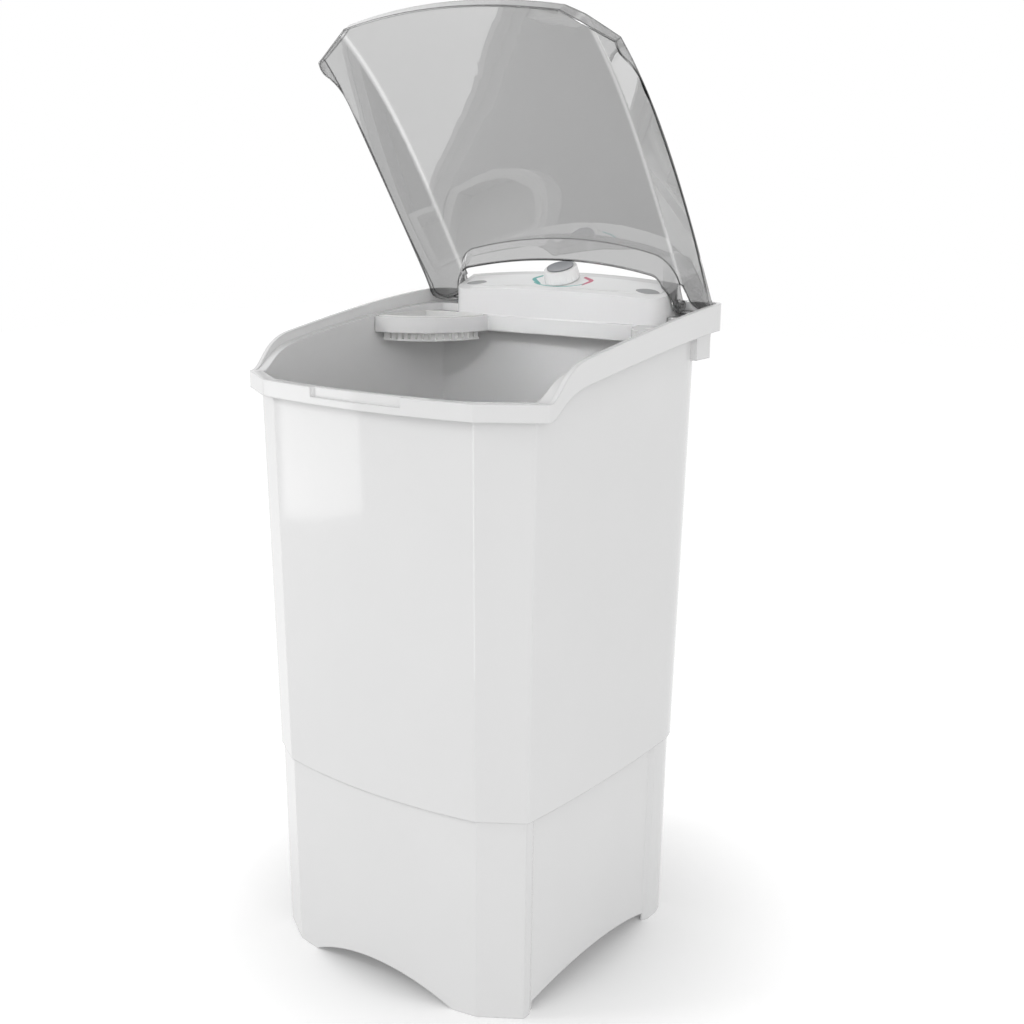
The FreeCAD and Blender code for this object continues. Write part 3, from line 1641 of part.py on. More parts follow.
def make_motor_screws():
    """Screws down through the plate into the motor."""
    screws = []
    length = plate_thickness + motor_screw_depth - screw_gap
    for point in motor_screw_points():
        one = screw(Vector(0, 0, 0), length, motor_screw_radius)
        one.rotate(Vector(0, 0, 0), Vector(1, 0, 0), 180)
        one.translate(raised(point, plate_top))
        screws.append(one)
    return Part.makeCompound(screws)


def make_capacitor():
    """Can with a crimped rim and two terminal blades on its top."""
    point = capacitor_point()
    top = plate_top + capacitor_height
    rim = clip_wall
    can = turned([
        (0, plate_top),
        (capacitor_radius, plate_top),
        (capacitor_radius, top - rim * 2),
        (capacitor_radius - rim, top - rim),
        (capacitor_radius - rim, top),
        (capacitor_radius - rim * 2, top),
        (capacitor_radius - rim * 2, top - rim),
        (0, top - rim),
    ], point.x, point.y)
    blades = []
    for side in (-1, 1):
        foot = Vector(point.x + side * capacitor_radius / 2, point.y, top - rim)
        blades.append(block(foot - Vector(rim / 2, rim * 2, 0), foot + Vector(rim / 2, rim * 2, rim * 6)))
    return fused([can] + blades)


def make_capacitor_clip():
    """Band round the capacitor with a foot on the plate."""
    point = capacitor_point()
    low = raised(point, plate_top)
    band = tube(capacitor_radius + clip_wall, capacitor_radius, low, low + Vector(0, 0, clip_height))
    away = capacitor_point() - motor_axis()
    foot = block(
        Vector(capacitor_radius, -clip_foot / 2, 0),
        Vector(capacitor_radius + clip_wall * 2, clip_foot / 2, clip_height / 2),
    )
    foot.rotate(Vector(0, 0, 0), Vector(0, 0, 1), math.degrees(math.atan2(away.y, away.x)))
    foot.translate(low)
    clear = rod(capacitor_radius, low, low + Vector(0, 0, clip_height))
    return fused([band, foot.cut(clear)])


def make_terminal_block():
    """Connector block on the motor plate, with a row of wire entries."""
    point = terminal_point()
    half_length = terminal_length / 2
    half_width = terminal_width / 2
    body = block(Vector(-half_length, -half_width, 0), Vector(half_length, half_width, terminal_height))
    entries = []
    for index in range(terminal_entry_count):
        x = (index + 0.5) * terminal_length / terminal_entry_count - half_length
        start = Vector(x, -half_width, terminal_height / 2)
        entries.append(rod(terminal_entry_radius, start, start + Vector(0, half_width, 0)))
    body = body.cut(entries)
    facing = terminal_facing()
    body.rotate(Vector(0, 0, 0), Vector(0, 0, 1), 90 + math.degrees(math.atan2(facing.y, facing.x)))
    body.translate(raised(point, plate_top))
    return body


def make_drain_grate():
    """Slotted round cover, let into the tub floor over the drain."""
    drain = Vector(drain_x, drain_y, 0)
    low = raised(drain, floor_top - grate_thickness)
    cover = rod(grate_radius, low, raised(drain, floor_top))
    slots = []
    for index in range(grate_slot_count):
        offset = (index - (grate_slot_count - 1) / 2) * grate_slot_width * 1.8
        half = math.sqrt(drain_hole_radius ** 2 - offset ** 2) - grate_slot_width / 2
        slots.append(block(
            Vector(drain_x + offset - grate_slot_width / 2, drain_y - half, low.z),
            Vector(drain_x + offset + grate_slot_width / 2, drain_y + half, floor_top),
        ))
    return cover.cut(slots)


def elbow_path():
    """Centre line of the drain elbow: down from the tub floor, then to the rear."""
    bend = elbow_radius + outlet_wall
    top = Vector(drain_x, drain_y, floor_top - floor_thickness)
    turn_start = Vector(drain_x, drain_y, outlet_height + bend)
    turn_middle = Vector(
        drain_x,
        drain_y + bend * (1 - math.cos(math.radians(45))),
        outlet_height + bend * (1 - math.sin(math.radians(45))),
    )
    turn_end = Vector(drain_x, drain_y + bend, outlet_height)
    return [top, turn_start, turn_middle, turn_end]


def bent_pipe(radius, extra):
    """Solid along the elbow's centre line, with a straight extra run at its rear end."""
    top, start, middle, end = elbow_path()
    edges = [Part.LineSegment(top, start).toShape(), Part.Arc(start, middle, end).toShape()]
    if extra > 0:
        edges.append(Part.LineSegment(end, end + Vector(0, extra, 0)).toShape())
    path = Part.Wire(edges)
    section = Part.Wire(Part.Circle(top, Vector(0, 0, 1), radius).toShape())
    return path.makePipeShell([section], True, True)


def make_drain_elbow():
    """Flanged elbow under the drain, with a spigot towards the rear wall."""
    top = elbow_path()[0]
    flange_low = top - Vector(0, 0, elbow_flange_thickness)
    outer = bent_pipe(outlet_radius + outlet_wall, 0)
    inner = bent_pipe(outlet_radius, 0)
    flange = rod(elbow_flange_radius, flange_low, top)
    return fused([outer, flange]).cut(inner)


def make_outlet_spigot():
    """Flanged spigot through the base's rear wall, glued to the elbow's end, for a hose outside."""
    end = elbow_path()[-1]
    wall = base_rear(outlet_height + outlet_flange_radius)
    tip = Vector(drain_x, wall + outlet_reach, outlet_height)
    outer = rod(outlet_radius, end, tip)
    flange_start = Vector(drain_x, wall, outlet_height)
    flange = rod(outlet_flange_radius, flange_start, flange_start + Vector(0, outlet_flange_thickness, 0))
    barb_length = outlet_reach / 3
    barb_start = tip - Vector(0, barb_length, 0)
    barb_radius = outlet_radius + outlet_wall / 2
    barb = Part.makeCone(barb_radius, outlet_radius, barb_length, barb_start, Vector(0, 1, 0))
    bore = rod(outlet_radius - outlet_wall, end, tip)
    return fused([outer, flange, barb]).cut(bore)


def make_cord_gland():
    """Flanged grommet for the supply cord in the base's rear wall."""
    wall = base_rear(gland_height + gland_flange_radius)
    start = Vector(gland_x, wall - base_wall - gland_reach / 2, gland_height)
    face = Vector(gland_x, wall, gland_height)
    tip = face + Vector(0, gland_reach, 0)
    sleeve = rod(gland_radius, start, face)
    flange = rod(gland_flange_radius, face, face + Vector(0, gland_flange_thickness, 0))
    nose = Part.makeCone(gland_radius, gland_bore_radius * 1.6, gland_reach, face, Vector(0, 1, 0))
    return fused([sleeve, flange, nose]).cut(rod(gland_bore_radius, start, tip))


def duct_form(inset, bottom):
    """Upright channel form behind the tub, from the seam up to the tier's shelf."""
    half = duct_width / 2 - inset
    front_low = rear_face(bottom)
    front_high = rear_face(rim_rear_bottom)
    rear = harness_y() + duct_depth / 2 - inset
    profile = [
        Vector(duct_x - half, front_low, bottom),
        Vector(duct_x - half, rear, bottom),
        Vector(duct_x - half, rear, rim_rear_bottom),
        Vector(duct_x - half, front_high, rim_rear_bottom),
    ]
    return Part.Face(Part.makePolygon(profile + profile[:1])).extrude(Vector(2 * half, 0, 0))


def make_rear_duct():
    """Channel down the tub's rear wall that covers the wires."""
    outer = duct_form(0, duct_bottom)
    inner = duct_form(duct_wall, duct_bottom + duct_wall)
    deeper = duct_form(duct_wall, duct_bottom + duct_wall)
    deeper.translate(Vector(0, -duct_wall * 2, 0))
    return outer.cut(inner.fuse(deeper))


def make_harness():
    """Bundle of wires from the timer, down the duct, under the tub floor to the terminal block."""
    x = harness_x()
    end = terminal_point() + terminal_facing() * (terminal_width / 2)
    high = console_front_height - timer_height
    low = plate_top + terminal_height / 2
    corners = [
        Vector(x, harness_y(), high),
        Vector(x, harness_y(), harness_entry_height),
        Vector(x, harness_drop_y, harness_entry_height),
        Vector(x, harness_drop_y, low),
        raised(end, low),
    ]
    return swept(corners, harness_bend, harness_radius)


def swept(corners, bend, radius):
    """Round bundle along straight runs that are joined by tangent arcs."""
    edges = []
    start = corners[0]
    for before, corner, after in zip(corners, corners[1:], corners[2:]):
        into = corner - before
        into.normalize()
        out = after - corner
        out.normalize()
        arc_start = corner - into * bend
        arc_end = corner + out * bend
        centre = arc_start + out * bend
        toward = corner - centre
        toward.normalize()
        edges.append(Part.LineSegment(start, arc_start).toShape())
        edges.append(Part.Arc(arc_start, centre + toward * bend, arc_end).toShape())
        start = arc_end
    edges.append(Part.LineSegment(start, corners[-1]).toShape())
    first = corners[1] - corners[0]
    section = Part.Wire(Part.Circle(corners[0], first, radius).toShape())
    return Part.Wire(edges).makePipeShell([section], True, True)


def centred(shape):
    """Moves a piece so that the origin lies under the middle of the rim, front to rear."""
    rim_front = -(tub_front + rim_front_overhang + front_bow)
    shape.translate(Vector(0, -(rim_front + rim_rear) / 2, 0))
    return shape


os.makedirs("parts", exist_ok=True)

centred(make_tub()).exportStep("parts/tub.step")
centred(make_base()).exportStep("parts/base_skirt.step")
centred(make_console()).exportStep("parts/console_bridge.step")
centred(make_overlay()).exportStep("parts/control_overlay.step")
centred(make_knob()).exportStep("parts/timer_knob.step")
centred(make_spindle()).exportStep("parts/timer_spindle.step")
centred(make_timer()).exportStep("parts/timer_body.step")
centred(make_timer_screws()).exportStep("parts/timer_screws.step")
centred(make_console_screws()).exportStep("parts/console_screws.step")
centred(make_lid()).exportStep("parts/lid.step")
centred(make_hinge_pins()).exportStep("parts/hinge_pins.step")
centred(make_lint_basket()).exportStep("parts/lint_basket.step")
centred(make_impeller()).exportStep("parts/impeller.step")
centred(make_impeller_screw()).exportStep("parts/impeller_screw.step")
centred(make_shaft()).exportStep("parts/drive_shaft.step")
centred(make_seal()).exportStep("parts/shaft_seal.step")
centred(make_bush(upper_bush_bottom())).exportStep("parts/upper_bush.step")
centred(make_bush(housing_hub_bottom)).exportStep("parts/lower_bush.step")
centred(make_bearing_housing()).exportStep("parts/bearing_housing.step")
centred(make_bearing_screws()).exportStep("parts/bearing_screws.step")
centred(make_driven_pulley()).exportStep("parts/driven_pulley.step")
centred(make_thrust_washer()).exportStep("parts/thrust_washer.step")
centred(make_pulley_nut()).exportStep("parts/pulley_nut.step")
centred(make_belt()).exportStep("parts/drive_belt.step")
centred(make_motor()).exportStep("parts/motor_body.step")
centred(make_motor_shaft()).exportStep("parts/motor_shaft.step")
centred(make_motor_pulley()).exportStep("parts/motor_pulley.step")
centred(make_motor_plate()).exportStep("parts/motor_plate.step")
centred(make_motor_screws()).exportStep("parts/motor_screws.step")
centred(make_plate_screws()).exportStep("parts/plate_screws.step")
centred(make_capacitor()).exportStep("parts/capacitor.step")
centred(make_capacitor_clip()).exportStep("parts/capacitor_clip.step")
centred(make_terminal_block()).exportStep("parts/terminal_block.step")
centred(make_harness()).exportStep("parts/wiring_harness.step")
centred(make_rear_duct()).exportStep("parts/rear_duct.step")
centred(make_drain_grate()).exportStep("parts/drain_grate.step")
centred(make_drain_elbow()).exportStep("parts/drain_elbow.step")
centred(make_outlet_spigot()).exportStep("parts/outlet_spigot.step")
centred(make_cord_gland()).exportStep("parts/cord_gland.step")
centred(make_base_screws()).exportStep("parts/base_screws.step")
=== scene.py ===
import math

import bpy
import numpy as np
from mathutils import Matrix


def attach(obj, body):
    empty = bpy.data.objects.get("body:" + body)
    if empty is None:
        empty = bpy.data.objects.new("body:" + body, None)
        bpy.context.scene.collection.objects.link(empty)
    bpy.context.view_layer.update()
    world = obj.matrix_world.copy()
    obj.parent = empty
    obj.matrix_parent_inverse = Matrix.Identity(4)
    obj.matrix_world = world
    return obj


bl_info = {
    "name": "Wash Tub Finishes",
    "version": (1, 0, 0),
    "blender": (4, 5, 0),
    "location": "View3D > Sidebar > Washer",
    "description": "Finishes, prints and studio for an upright washing machine with a smoked hinged lid",
    "category": "Object",
}

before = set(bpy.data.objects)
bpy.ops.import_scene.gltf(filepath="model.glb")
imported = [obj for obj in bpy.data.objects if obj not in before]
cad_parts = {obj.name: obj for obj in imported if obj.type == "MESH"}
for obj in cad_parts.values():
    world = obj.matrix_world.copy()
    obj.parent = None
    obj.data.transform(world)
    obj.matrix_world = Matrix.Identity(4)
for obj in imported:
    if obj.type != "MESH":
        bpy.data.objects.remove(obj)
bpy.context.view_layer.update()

# The console's top in metres: a tilted plane with a low crown across its length.
TOP_FRONT_Y = 0.19375
TOP_FRONT_Z = 0.9476
TOP_SLOPE = 0.36397
CROWN = 0.010
HALF_LENGTH = 0.189

# The timer knob: its axis meets the console's top here and leans forward, square to that slope.
KNOB_Y = 0.22375
KNOB_SEAT_Z = 0.967919
KNOB_TOP = 0.0198

# The plated dish, in metres from the knob's top: its foot, its middle and the rim's rise over the middle.
# Its rings are shares of its radius, from the foot of its outer wall inwards.
DISH_FOOT = -0.0006
DISH_MIDDLE = 0.0012
DISH_RISE = 0.001
DISH_RINGS = (1.0, 1.0, 0.97, 0.9, 0.8, 0.65, 0.5, 0.35, 0.2, 0.08)
DISH_SIDES = 96

# The arrow heads' barbs and points, in metres from the knob's axis. A barb is straight for one share of its
# length, and its stroke narrows by another share towards its end.
LEFT_ARROW = ((-0.0420, 0.0105), (-0.0530, -0.001), (-0.0290, -0.0195))
RIGHT_ARROW = ((0.0330, 0.0105), (0.0530, 0.001), (0.0440, -0.0150))
BARB_STRAIGHT = 0.75
BARB_TAPER = 0.35
BARB_STATIONS = 49

# The ring line's two ends, in degrees round the knob from the machine's right.
RING_START = 212.0
RING_STOP = 334.0
RING_STATIONS = 96

# The pads' middles, in metres from the machine's middle. A pad's width is a power of a parabola along its
# length, and at its tips the parabola stops at a small share.
PAD_X = 0.155
PAD_Y = 0.2125
PAD_POWER = 0.7
PAD_TIP = 0.0004
PAD_STATIONS = 41

# The lid's two folds: their distance from the middle and half the width of the painted highlight along them.
FOLD_X = 0.197
FOLD_HIGHLIGHT_HALF_WIDTH = 0.006

# Prints are thin ink films: they stand this far out of the film and reach this far into it.
INK_PROUD = 0.00012
INK_SUNK = 0.0002

# The floor: half its width, and the distances from its middle between which it brightens to its full glow;
# nearer in, its lower glow is a painted shadow round the machine.
FLOOR_HALF = 8.0
PAINTED_SHADOW_CORE = 0.22
PAINTED_SHADOW_END = 0.62

# The camera: its place and aim in metres, the frame's shift and the sensor's width in millimetres.
CAMERA_PLACE = (1.1314, -1.51006, 1.1076)
CAMERA_AIM = (0.0, -0.01525, 0.6496)
CAMERA_SHIFT = 0.043
SENSOR_WIDTH = 36.0

# The console lamp's beam, in degrees.
CONSOLE_BEAM = 15.0

WHITE = (1.0, 1.0, 1.0, 1.0)


def linear(code):
    """An sRGB hex colour as linear red, green and blue with full alpha."""
    parts = np.array([int(code[i:i + 2], 16) for i in (1, 3, 5)]) / 255.0
    low = parts / 12.92
    high = ((parts + 0.055) / 1.055) ** 2.4
    return (*np.where(parts <= 0.04045, low, high).tolist(), 1.0)


def per_metre(size_mm):
    """The scale at which a pattern on Object coordinates has cells of about size_mm."""
    return 1000.0 / size_mm


def add(tree, kind, inputs=None, **settings):
    """Adds one node, with its settings, and fills or links its inputs by name or number."""
    made = tree.nodes.new(kind)
    for name, value in settings.items():
        setattr(made, name, value)
    for name, value in (inputs or {}).items():
        if isinstance(value, bpy.types.NodeSocket):
            tree.links.new(value, made.inputs[name])
        else:
            made.inputs[name].default_value = value
    return made


def empty_tree(name):
    """A new material and its node tree with nothing in it."""
    made = bpy.data.materials.new(name)
    made.use_nodes = True
    made.node_tree.nodes.clear()
    return made, made.node_tree


def surface(name, pale, deep, rough, tone_mm, grain_mm, grain_height_mm, edge_mm=0.8, stretch=(1, 1, 1),
            **sockets):
    """A moulded, cast or turned surface. Broad clouds of tone_mm mix the pale and the deep colour; fine
    grain of grain_mm lifts the surface by its height and moves the roughness between its two ends. Edges
    are eased by edge_mm, and there the colour goes to the pale one as a painted highlight and the roughness
    to its upper end."""
    made, tree = empty_tree(name)
    place = add(tree, "ShaderNodeTexCoord").outputs["Object"]
    drawn = add(tree, "ShaderNodeMapping", {"Vector": place, "Scale": stretch}).outputs["Vector"]
    clouds = add(tree, "ShaderNodeTexNoise",
                 {"Vector": drawn, "Scale": per_metre(tone_mm), "Detail": 3.0, "Roughness": 0.55})
    grain = add(tree, "ShaderNodeTexNoise",
                {"Vector": drawn, "Scale": per_metre(grain_mm), "Detail": 2.0, "Roughness": 0.5})
    eased = add(tree, "ShaderNodeBevel", {"Radius": edge_mm / 1000.0}, samples=6)
    flat = add(tree, "ShaderNodeNewGeometry")
    turned = add(tree, "ShaderNodeVectorMath",
                 {0: eased.outputs["Normal"], 1: flat.outputs["Normal"]}, operation="DOT_PRODUCT")
    # The edge mask: it lightens the colour towards the pale one as a painted highlight, and raises the
    # roughness.
    edge_highlight_mask = add(tree, "ShaderNodeMapRange",
               {"Value": turned.outputs["Value"], "From Min": 0.98, "From Max": 0.8,
                "To Min": 0.0, "To Max": 0.6})
    # The flow marks less the edge mask, so the painted highlight shows along the edges.
    marks = add(tree, "ShaderNodeMath",
                {0: clouds.outputs["Fac"], 1: edge_highlight_mask.outputs["Result"]}, operation="SUBTRACT", use_clamp=True)
    colour = add(tree, "ShaderNodeMix",
                 {"Factor": marks.outputs["Value"], 6: pale, 7: deep}, data_type="RGBA")
    both = add(tree, "ShaderNodeMath",
               {0: grain.outputs["Fac"], 1: edge_highlight_mask.outputs["Result"]}, operation="ADD")
    shine = add(tree, "ShaderNodeMapRange",
                {"Value": both.outputs["Value"], "From Min": 0.3, "From Max": 0.9,
                 "To Min": rough[0], "To Max": rough[1]})
    lift = add(tree, "ShaderNodeBump",
               {"Height": grain.outputs["Fac"], "Strength": 1.0, "Distance": grain_height_mm / 1000.0,
                "Normal": eased.outputs["Normal"]})
    shader = add(tree, "ShaderNodeBsdfPrincipled",
                 {"Base Color": colour.outputs[2], "Roughness": shine.outputs["Result"],
                  "Normal": lift.outputs["Normal"], **sockets})
    add(tree, "ShaderNodeOutputMaterial", {"Surface": shader.outputs["BSDF"]})
    return made


def smoked_clear(name, tint, fold_highlight_tint, edge_shade_tint, wave_mm, polish_mm):
    """Clear styrene moulded thin: grey smoke in the body and a polished skin with a faint long wave from the
    mould. A paler tint along the two folds, at one distance from the middle, is a painted highlight, and a
    dark tint at the cut edges is painted shade. Edges are found by how far the normal averaged over a few
    millimetres leans."""
    made, tree = empty_tree(name)
    place = add(tree, "ShaderNodeTexCoord").outputs["Object"]
    wave = add(tree, "ShaderNodeTexNoise",
               {"Vector": place, "Scale": per_metre(wave_mm), "Detail": 1.0, "Roughness": 0.4})
    polish = add(tree, "ShaderNodeTexNoise",
                 {"Vector": place, "Scale": per_metre(polish_mm), "Detail": 2.0, "Roughness": 0.5})
    shine = add(tree, "ShaderNodeMapRange",
                {"Value": polish.outputs["Fac"], "From Min": 0.3, "From Max": 0.7,
                 "To Min": 0.0, "To Max": 0.02})
    eased = add(tree, "ShaderNodeBevel", {"Radius": 0.0018}, samples=8)
    lift = add(tree, "ShaderNodeBump",
               {"Height": wave.outputs["Fac"], "Strength": 1.0, "Distance": 0.0004,
                "Normal": eased.outputs["Normal"]})
    across = add(tree, "ShaderNodeSeparateXYZ", {"Vector": place})
    outwards = add(tree, "ShaderNodeMath", {0: across.outputs["X"]}, operation="ABSOLUTE")
    off_fold = add(tree, "ShaderNodeMath", {0: outwards.outputs["Value"], 1: FOLD_X}, operation="SUBTRACT")
    away = add(tree, "ShaderNodeMath", {0: off_fold.outputs["Value"]}, operation="ABSOLUTE")
    # Painted highlight: the tint turns paler within this half width of each fold.
    fold_highlight = add(tree, "ShaderNodeMapRange",
                  {"Value": away.outputs["Value"], "From Min": FOLD_HIGHLIGHT_HALF_WIDTH, "From Max": 0.0},
                  interpolation_type="SMOOTHSTEP")
    broad = add(tree, "ShaderNodeBevel", {"Radius": 0.004}, samples=12)
    flat = add(tree, "ShaderNodeNewGeometry")
    lean = add(tree, "ShaderNodeVectorMath",
               {0: broad.outputs["Normal"], 1: flat.outputs["Normal"]}, operation="DOT_PRODUCT")
    # Painted shade: the tint turns dark where the broad normal leans from the flat one, at the cut edges.
    edge = add(tree, "ShaderNodeMapRange",
               {"Value": lean.outputs["Value"], "From Min": 0.985, "From Max": 0.94})
    lighter = add(tree, "ShaderNodeMix",
                  {"Factor": fold_highlight.outputs["Result"], 6: tint, 7: fold_highlight_tint}, data_type="RGBA")
    colour = add(tree, "ShaderNodeMix",
                 {"Factor": edge.outputs["Result"], 6: lighter.outputs[2], 7: edge_shade_tint}, data_type="RGBA")
    shader = add(tree, "ShaderNodeBsdfPrincipled",
                 {"Base Color": colour.outputs[2], "Roughness": shine.outputs["Result"],
                  "IOR": 1.59, "Transmission Weight": 1.0, "Coat Weight": 1.0, "Coat Roughness": 0.0,
                  "Coat IOR": 1.8, "Normal": lift.outputs["Normal"], "Coat Normal": lift.outputs["Normal"]})
    add(tree, "ShaderNodeOutputMaterial", {"Surface": shader.outputs["BSDF"]})
    return made


def dress(names, finish):
    """Gives the named CAD nodes one finish."""
    for name in names:
        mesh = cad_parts[name].data
        mesh.materials.clear()
        mesh.materials.append(finish)


def console_top(x, y):
    """Height of the console's film at x, y: the tilted plane plus a crown that falls off with x squared."""
    crown = CROWN * (1.0 - (x / HALF_LENGTH) ** 2)
    return TOP_FRONT_Z + crown + (y - TOP_FRONT_Y) * TOP_SLOPE


def new_piece(name, points, faces):
    """A mesh object at the origin with the given points and faces."""
    mesh = bpy.data.meshes.new(name)
    mesh.from_pydata(points.tolist(), [], faces)
    mesh.update()
    made = bpy.data.objects.new(name, mesh)
    bpy.context.scene.collection.objects.link(made)
    return made


def print_strip(name, x, y, half_width):
    """A closed ribbon of ink on the console's film: the middle line x, y is carried along, and each station
    has a four-cornered section as wide as half_width says there, square to the line in plan."""
    along_x = np.gradient(x)
    along_y = np.gradient(y)
    length = np.hypot(along_x, along_y)
    out_x = -along_y / length * half_width
    out_y = along_x / length * half_width
    side = np.array([1.0, 1.0, -1.0, -1.0])
    rise = np.array([-INK_SUNK, INK_PROUD, INK_PROUD, -INK_SUNK])
    px = x[:, None] + out_x[:, None] * side
    py = y[:, None] + out_y[:, None] * side
    pz = console_top(px, py) + rise
    points = np.stack([px, py, pz], axis=-1).reshape(-1, 3)
    count = len(side)
    here = np.arange(len(x) - 1)[:, None] * count
    there = here + count
    corner = np.arange(count)[None, :]
    ahead = (corner + 1) % count
    quads = np.stack([here + corner, there + corner, there + ahead, here + ahead], axis=-1)
    last = (len(x) - 1) * count
    caps = np.array([[0, 1, 2, 3], [last + 3, last + 2, last + 1, last]])
    faces = np.concatenate([quads.reshape(-1, count), caps])
    return new_piece(name, points, faces.tolist())


def ring_line(name, sizes):
    """The thin line of the arrow ring: an ellipse round the knob, from one arrow head round the front to
    the other."""
    angle = np.radians(np.linspace(RING_START, RING_STOP, RING_STATIONS))
    x = sizes.ring_half_width * np.cos(angle)
    y = KNOB_Y + sizes.ring_half_depth * np.sin(angle)
    return print_strip(name, x, y, np.full_like(x, sizes.ring_line / 2.0))


def arrow_head(name, tips, sizes):
    """An open arrow head: one ribbon from the first barb to the point and on to the second barb. The ribbon
    is widest at the point and the corner is rounded by a short quadratic curve."""
    first, point, second = (np.array(tip) for tip in tips)
    t = np.linspace(0.0, 1.0, BARB_STATIONS)[:, None]
    start = first + (point - first) * BARB_STRAIGHT
    stop = second + (point - second) * BARB_STRAIGHT
    bend = (1.0 - t) ** 2 * start + 2.0 * t * (1.0 - t) * point + t ** 2 * stop
    line = np.concatenate([first + (start - first) * t[:-1], bend, stop + (second - stop) * t[1:]])
    from_point = np.abs(np.linspace(-1.0, 1.0, len(line)))
    half_width = sizes.arrow_stroke / 2.0 * (1.0 - BARB_TAPER * from_point)
    return print_strip(name, line[:, 0], KNOB_Y + line[:, 1], half_width)


def corner_pad(name, side, sizes):
    """A pad on the console's film, pointed at both ends, at the left or right by the sign of side: its width
    is a power of one minus the square of the way from its middle to a tip."""
    along = np.linspace(-1.0, 1.0, PAD_STATIONS)
    x = side * PAD_X + along * sizes.pad_length / 2.0
    half_width = sizes.pad_width / 2.0 * np.maximum(1.0 - along ** 2, PAD_TIP) ** PAD_POWER
    return print_strip(name, x, np.full_like(x, PAD_Y), half_width)


def knob_insert(name, radius):
    """A shallow dish on the knob's top: rings from the rim to the middle, whose height rises with the square
    of the radius, over the knob's leaning axis. The first ring is the foot of its outer wall."""
    angle = np.linspace(0.0, 2.0 * np.pi, DISH_SIDES, endpoint=False)
    share = np.array(DISH_RINGS)
    height = KNOB_TOP + DISH_MIDDLE + DISH_RISE * share ** 2
    height[0] = KNOB_TOP + DISH_FOOT
    x = radius * share[:, None] * np.cos(angle)
    v = radius * share[:, None] * np.sin(angle)
    w = np.broadcast_to(height[:, None], x.shape)
    lean = math.atan(TOP_SLOPE)
    y = KNOB_Y + v * math.cos(lean) - w * math.sin(lean)
    z = KNOB_SEAT_Z + v * math.sin(lean) + w * math.cos(lean)
    points = np.stack([x, y, z], axis=-1).reshape(-1, 3)
    here = np.arange(len(share) - 1)[:, None] * DISH_SIDES
    there = here + DISH_SIDES
    corner = np.arange(DISH_SIDES)[None, :]
    ahead = (corner + 1) % DISH_SIDES
    quads = np.stack([here + corner, here + ahead, there + ahead, there + corner], axis=-1)
    faces = quads.reshape(-1, 4).tolist()
    last = (len(share) - 1) * DISH_SIDES
    faces.append(list(range(last, last + DISH_SIDES)))
    faces.append(list(range(DISH_SIDES - 1, -1, -1)))
    return new_piece(name, points, faces)


def place_piece(piece, finish, body):
    """Gives a new piece its finish and lets it ride on a body."""
    piece.data.materials.append(finish)
    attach(piece, body)


def turned_towards(place, aim):
    """The turn that points a lamp or camera at place, which looks along its own -Z, at aim."""
    towards = np.array(aim) - np.array(place)
    turn = math.atan2(towards[1], towards[0]) - math.pi / 2.0
    tip = math.acos(-towards[2] / np.linalg.norm(towards))
    return tip, 0.0, turn


class WasherColours(bpy.types.PropertyGroup):
    """Colours of the machine's finishes."""

    shell: bpy.props.FloatVectorProperty(
        name="Shell", description="White of the tub, base and console", subtype="COLOR", size=4,
        min=0.0, max=1.0, default=linear("#EAEAEA"))
    shell_deep: bpy.props.FloatVectorProperty(
        name="Shell flow marks", description="White in the faint flow marks of the moulding",
        subtype="COLOR", size=4, min=0.0, max=1.0, default=linear("#E6E6E6"))
    knob: bpy.props.FloatVectorProperty(
        name="Knob", description="White of the timer knob", subtype="COLOR", size=4,
        min=0.0, max=1.0, default=linear("#F2F2F2"))
    # The film's white is darkened a little as painted shade from the lid above.
    film: bpy.props.FloatVectorProperty(
        name="Console film", description="Ground colour of the film on the console", subtype="COLOR",
        size=4, min=0.0, max=1.0, default=linear("#E2E3E3"))
    smoke: bpy.props.FloatVectorProperty(
        name="Lid smoke", description="Light that passes through the lid's wall", subtype="COLOR",
        size=4, min=0.0, max=1.0, default=linear("#B4B4B4"))
    # Tint of the painted highlight along the lid's folds.
    smoke_fold_highlight: bpy.props.FloatVectorProperty(
        name="Lid folds", description="Light that passes at the lid's rounded folds",
        subtype="COLOR", size=4, min=0.0, max=1.0, default=linear("#DCDCDC"))
    # Tint of the painted shade at the lid's cut edges.
    smoke_edge_shade: bpy.props.FloatVectorProperty(
        name="Lid edge", description="Light that passes at the lid's cut edges",
        subtype="COLOR", size=4, min=0.0, max=1.0, default=linear("#202020"))
    first_ink: bpy.props.FloatVectorProperty(
        name="First ink", description="Ink of the ring and its left arrow head", subtype="COLOR", size=4,
        min=0.0, max=1.0, default=linear("#3E9C98"))
    second_ink: bpy.props.FloatVectorProperty(
        name="Second ink", description="Ink of the ring's right arrow head", subtype="COLOR", size=4,
        min=0.0, max=1.0, default=linear("#B8536C"))
    pad_grey: bpy.props.FloatVectorProperty(
        name="Corner pads", description="Grey of the pads at the console's front corners",
        subtype="COLOR", size=4, min=0.0, max=1.0, default=linear("#9FA0A1"))
    # The dish's mid grey is a painted dark reflection on bright chrome.
    plating_dark_reflection: bpy.props.FloatVectorProperty(
        name="Knob insert", description="Plating of the dish in the knob's top",
        subtype="COLOR", size=4, min=0.0, max=1.0, default=linear("#8A8C90"))


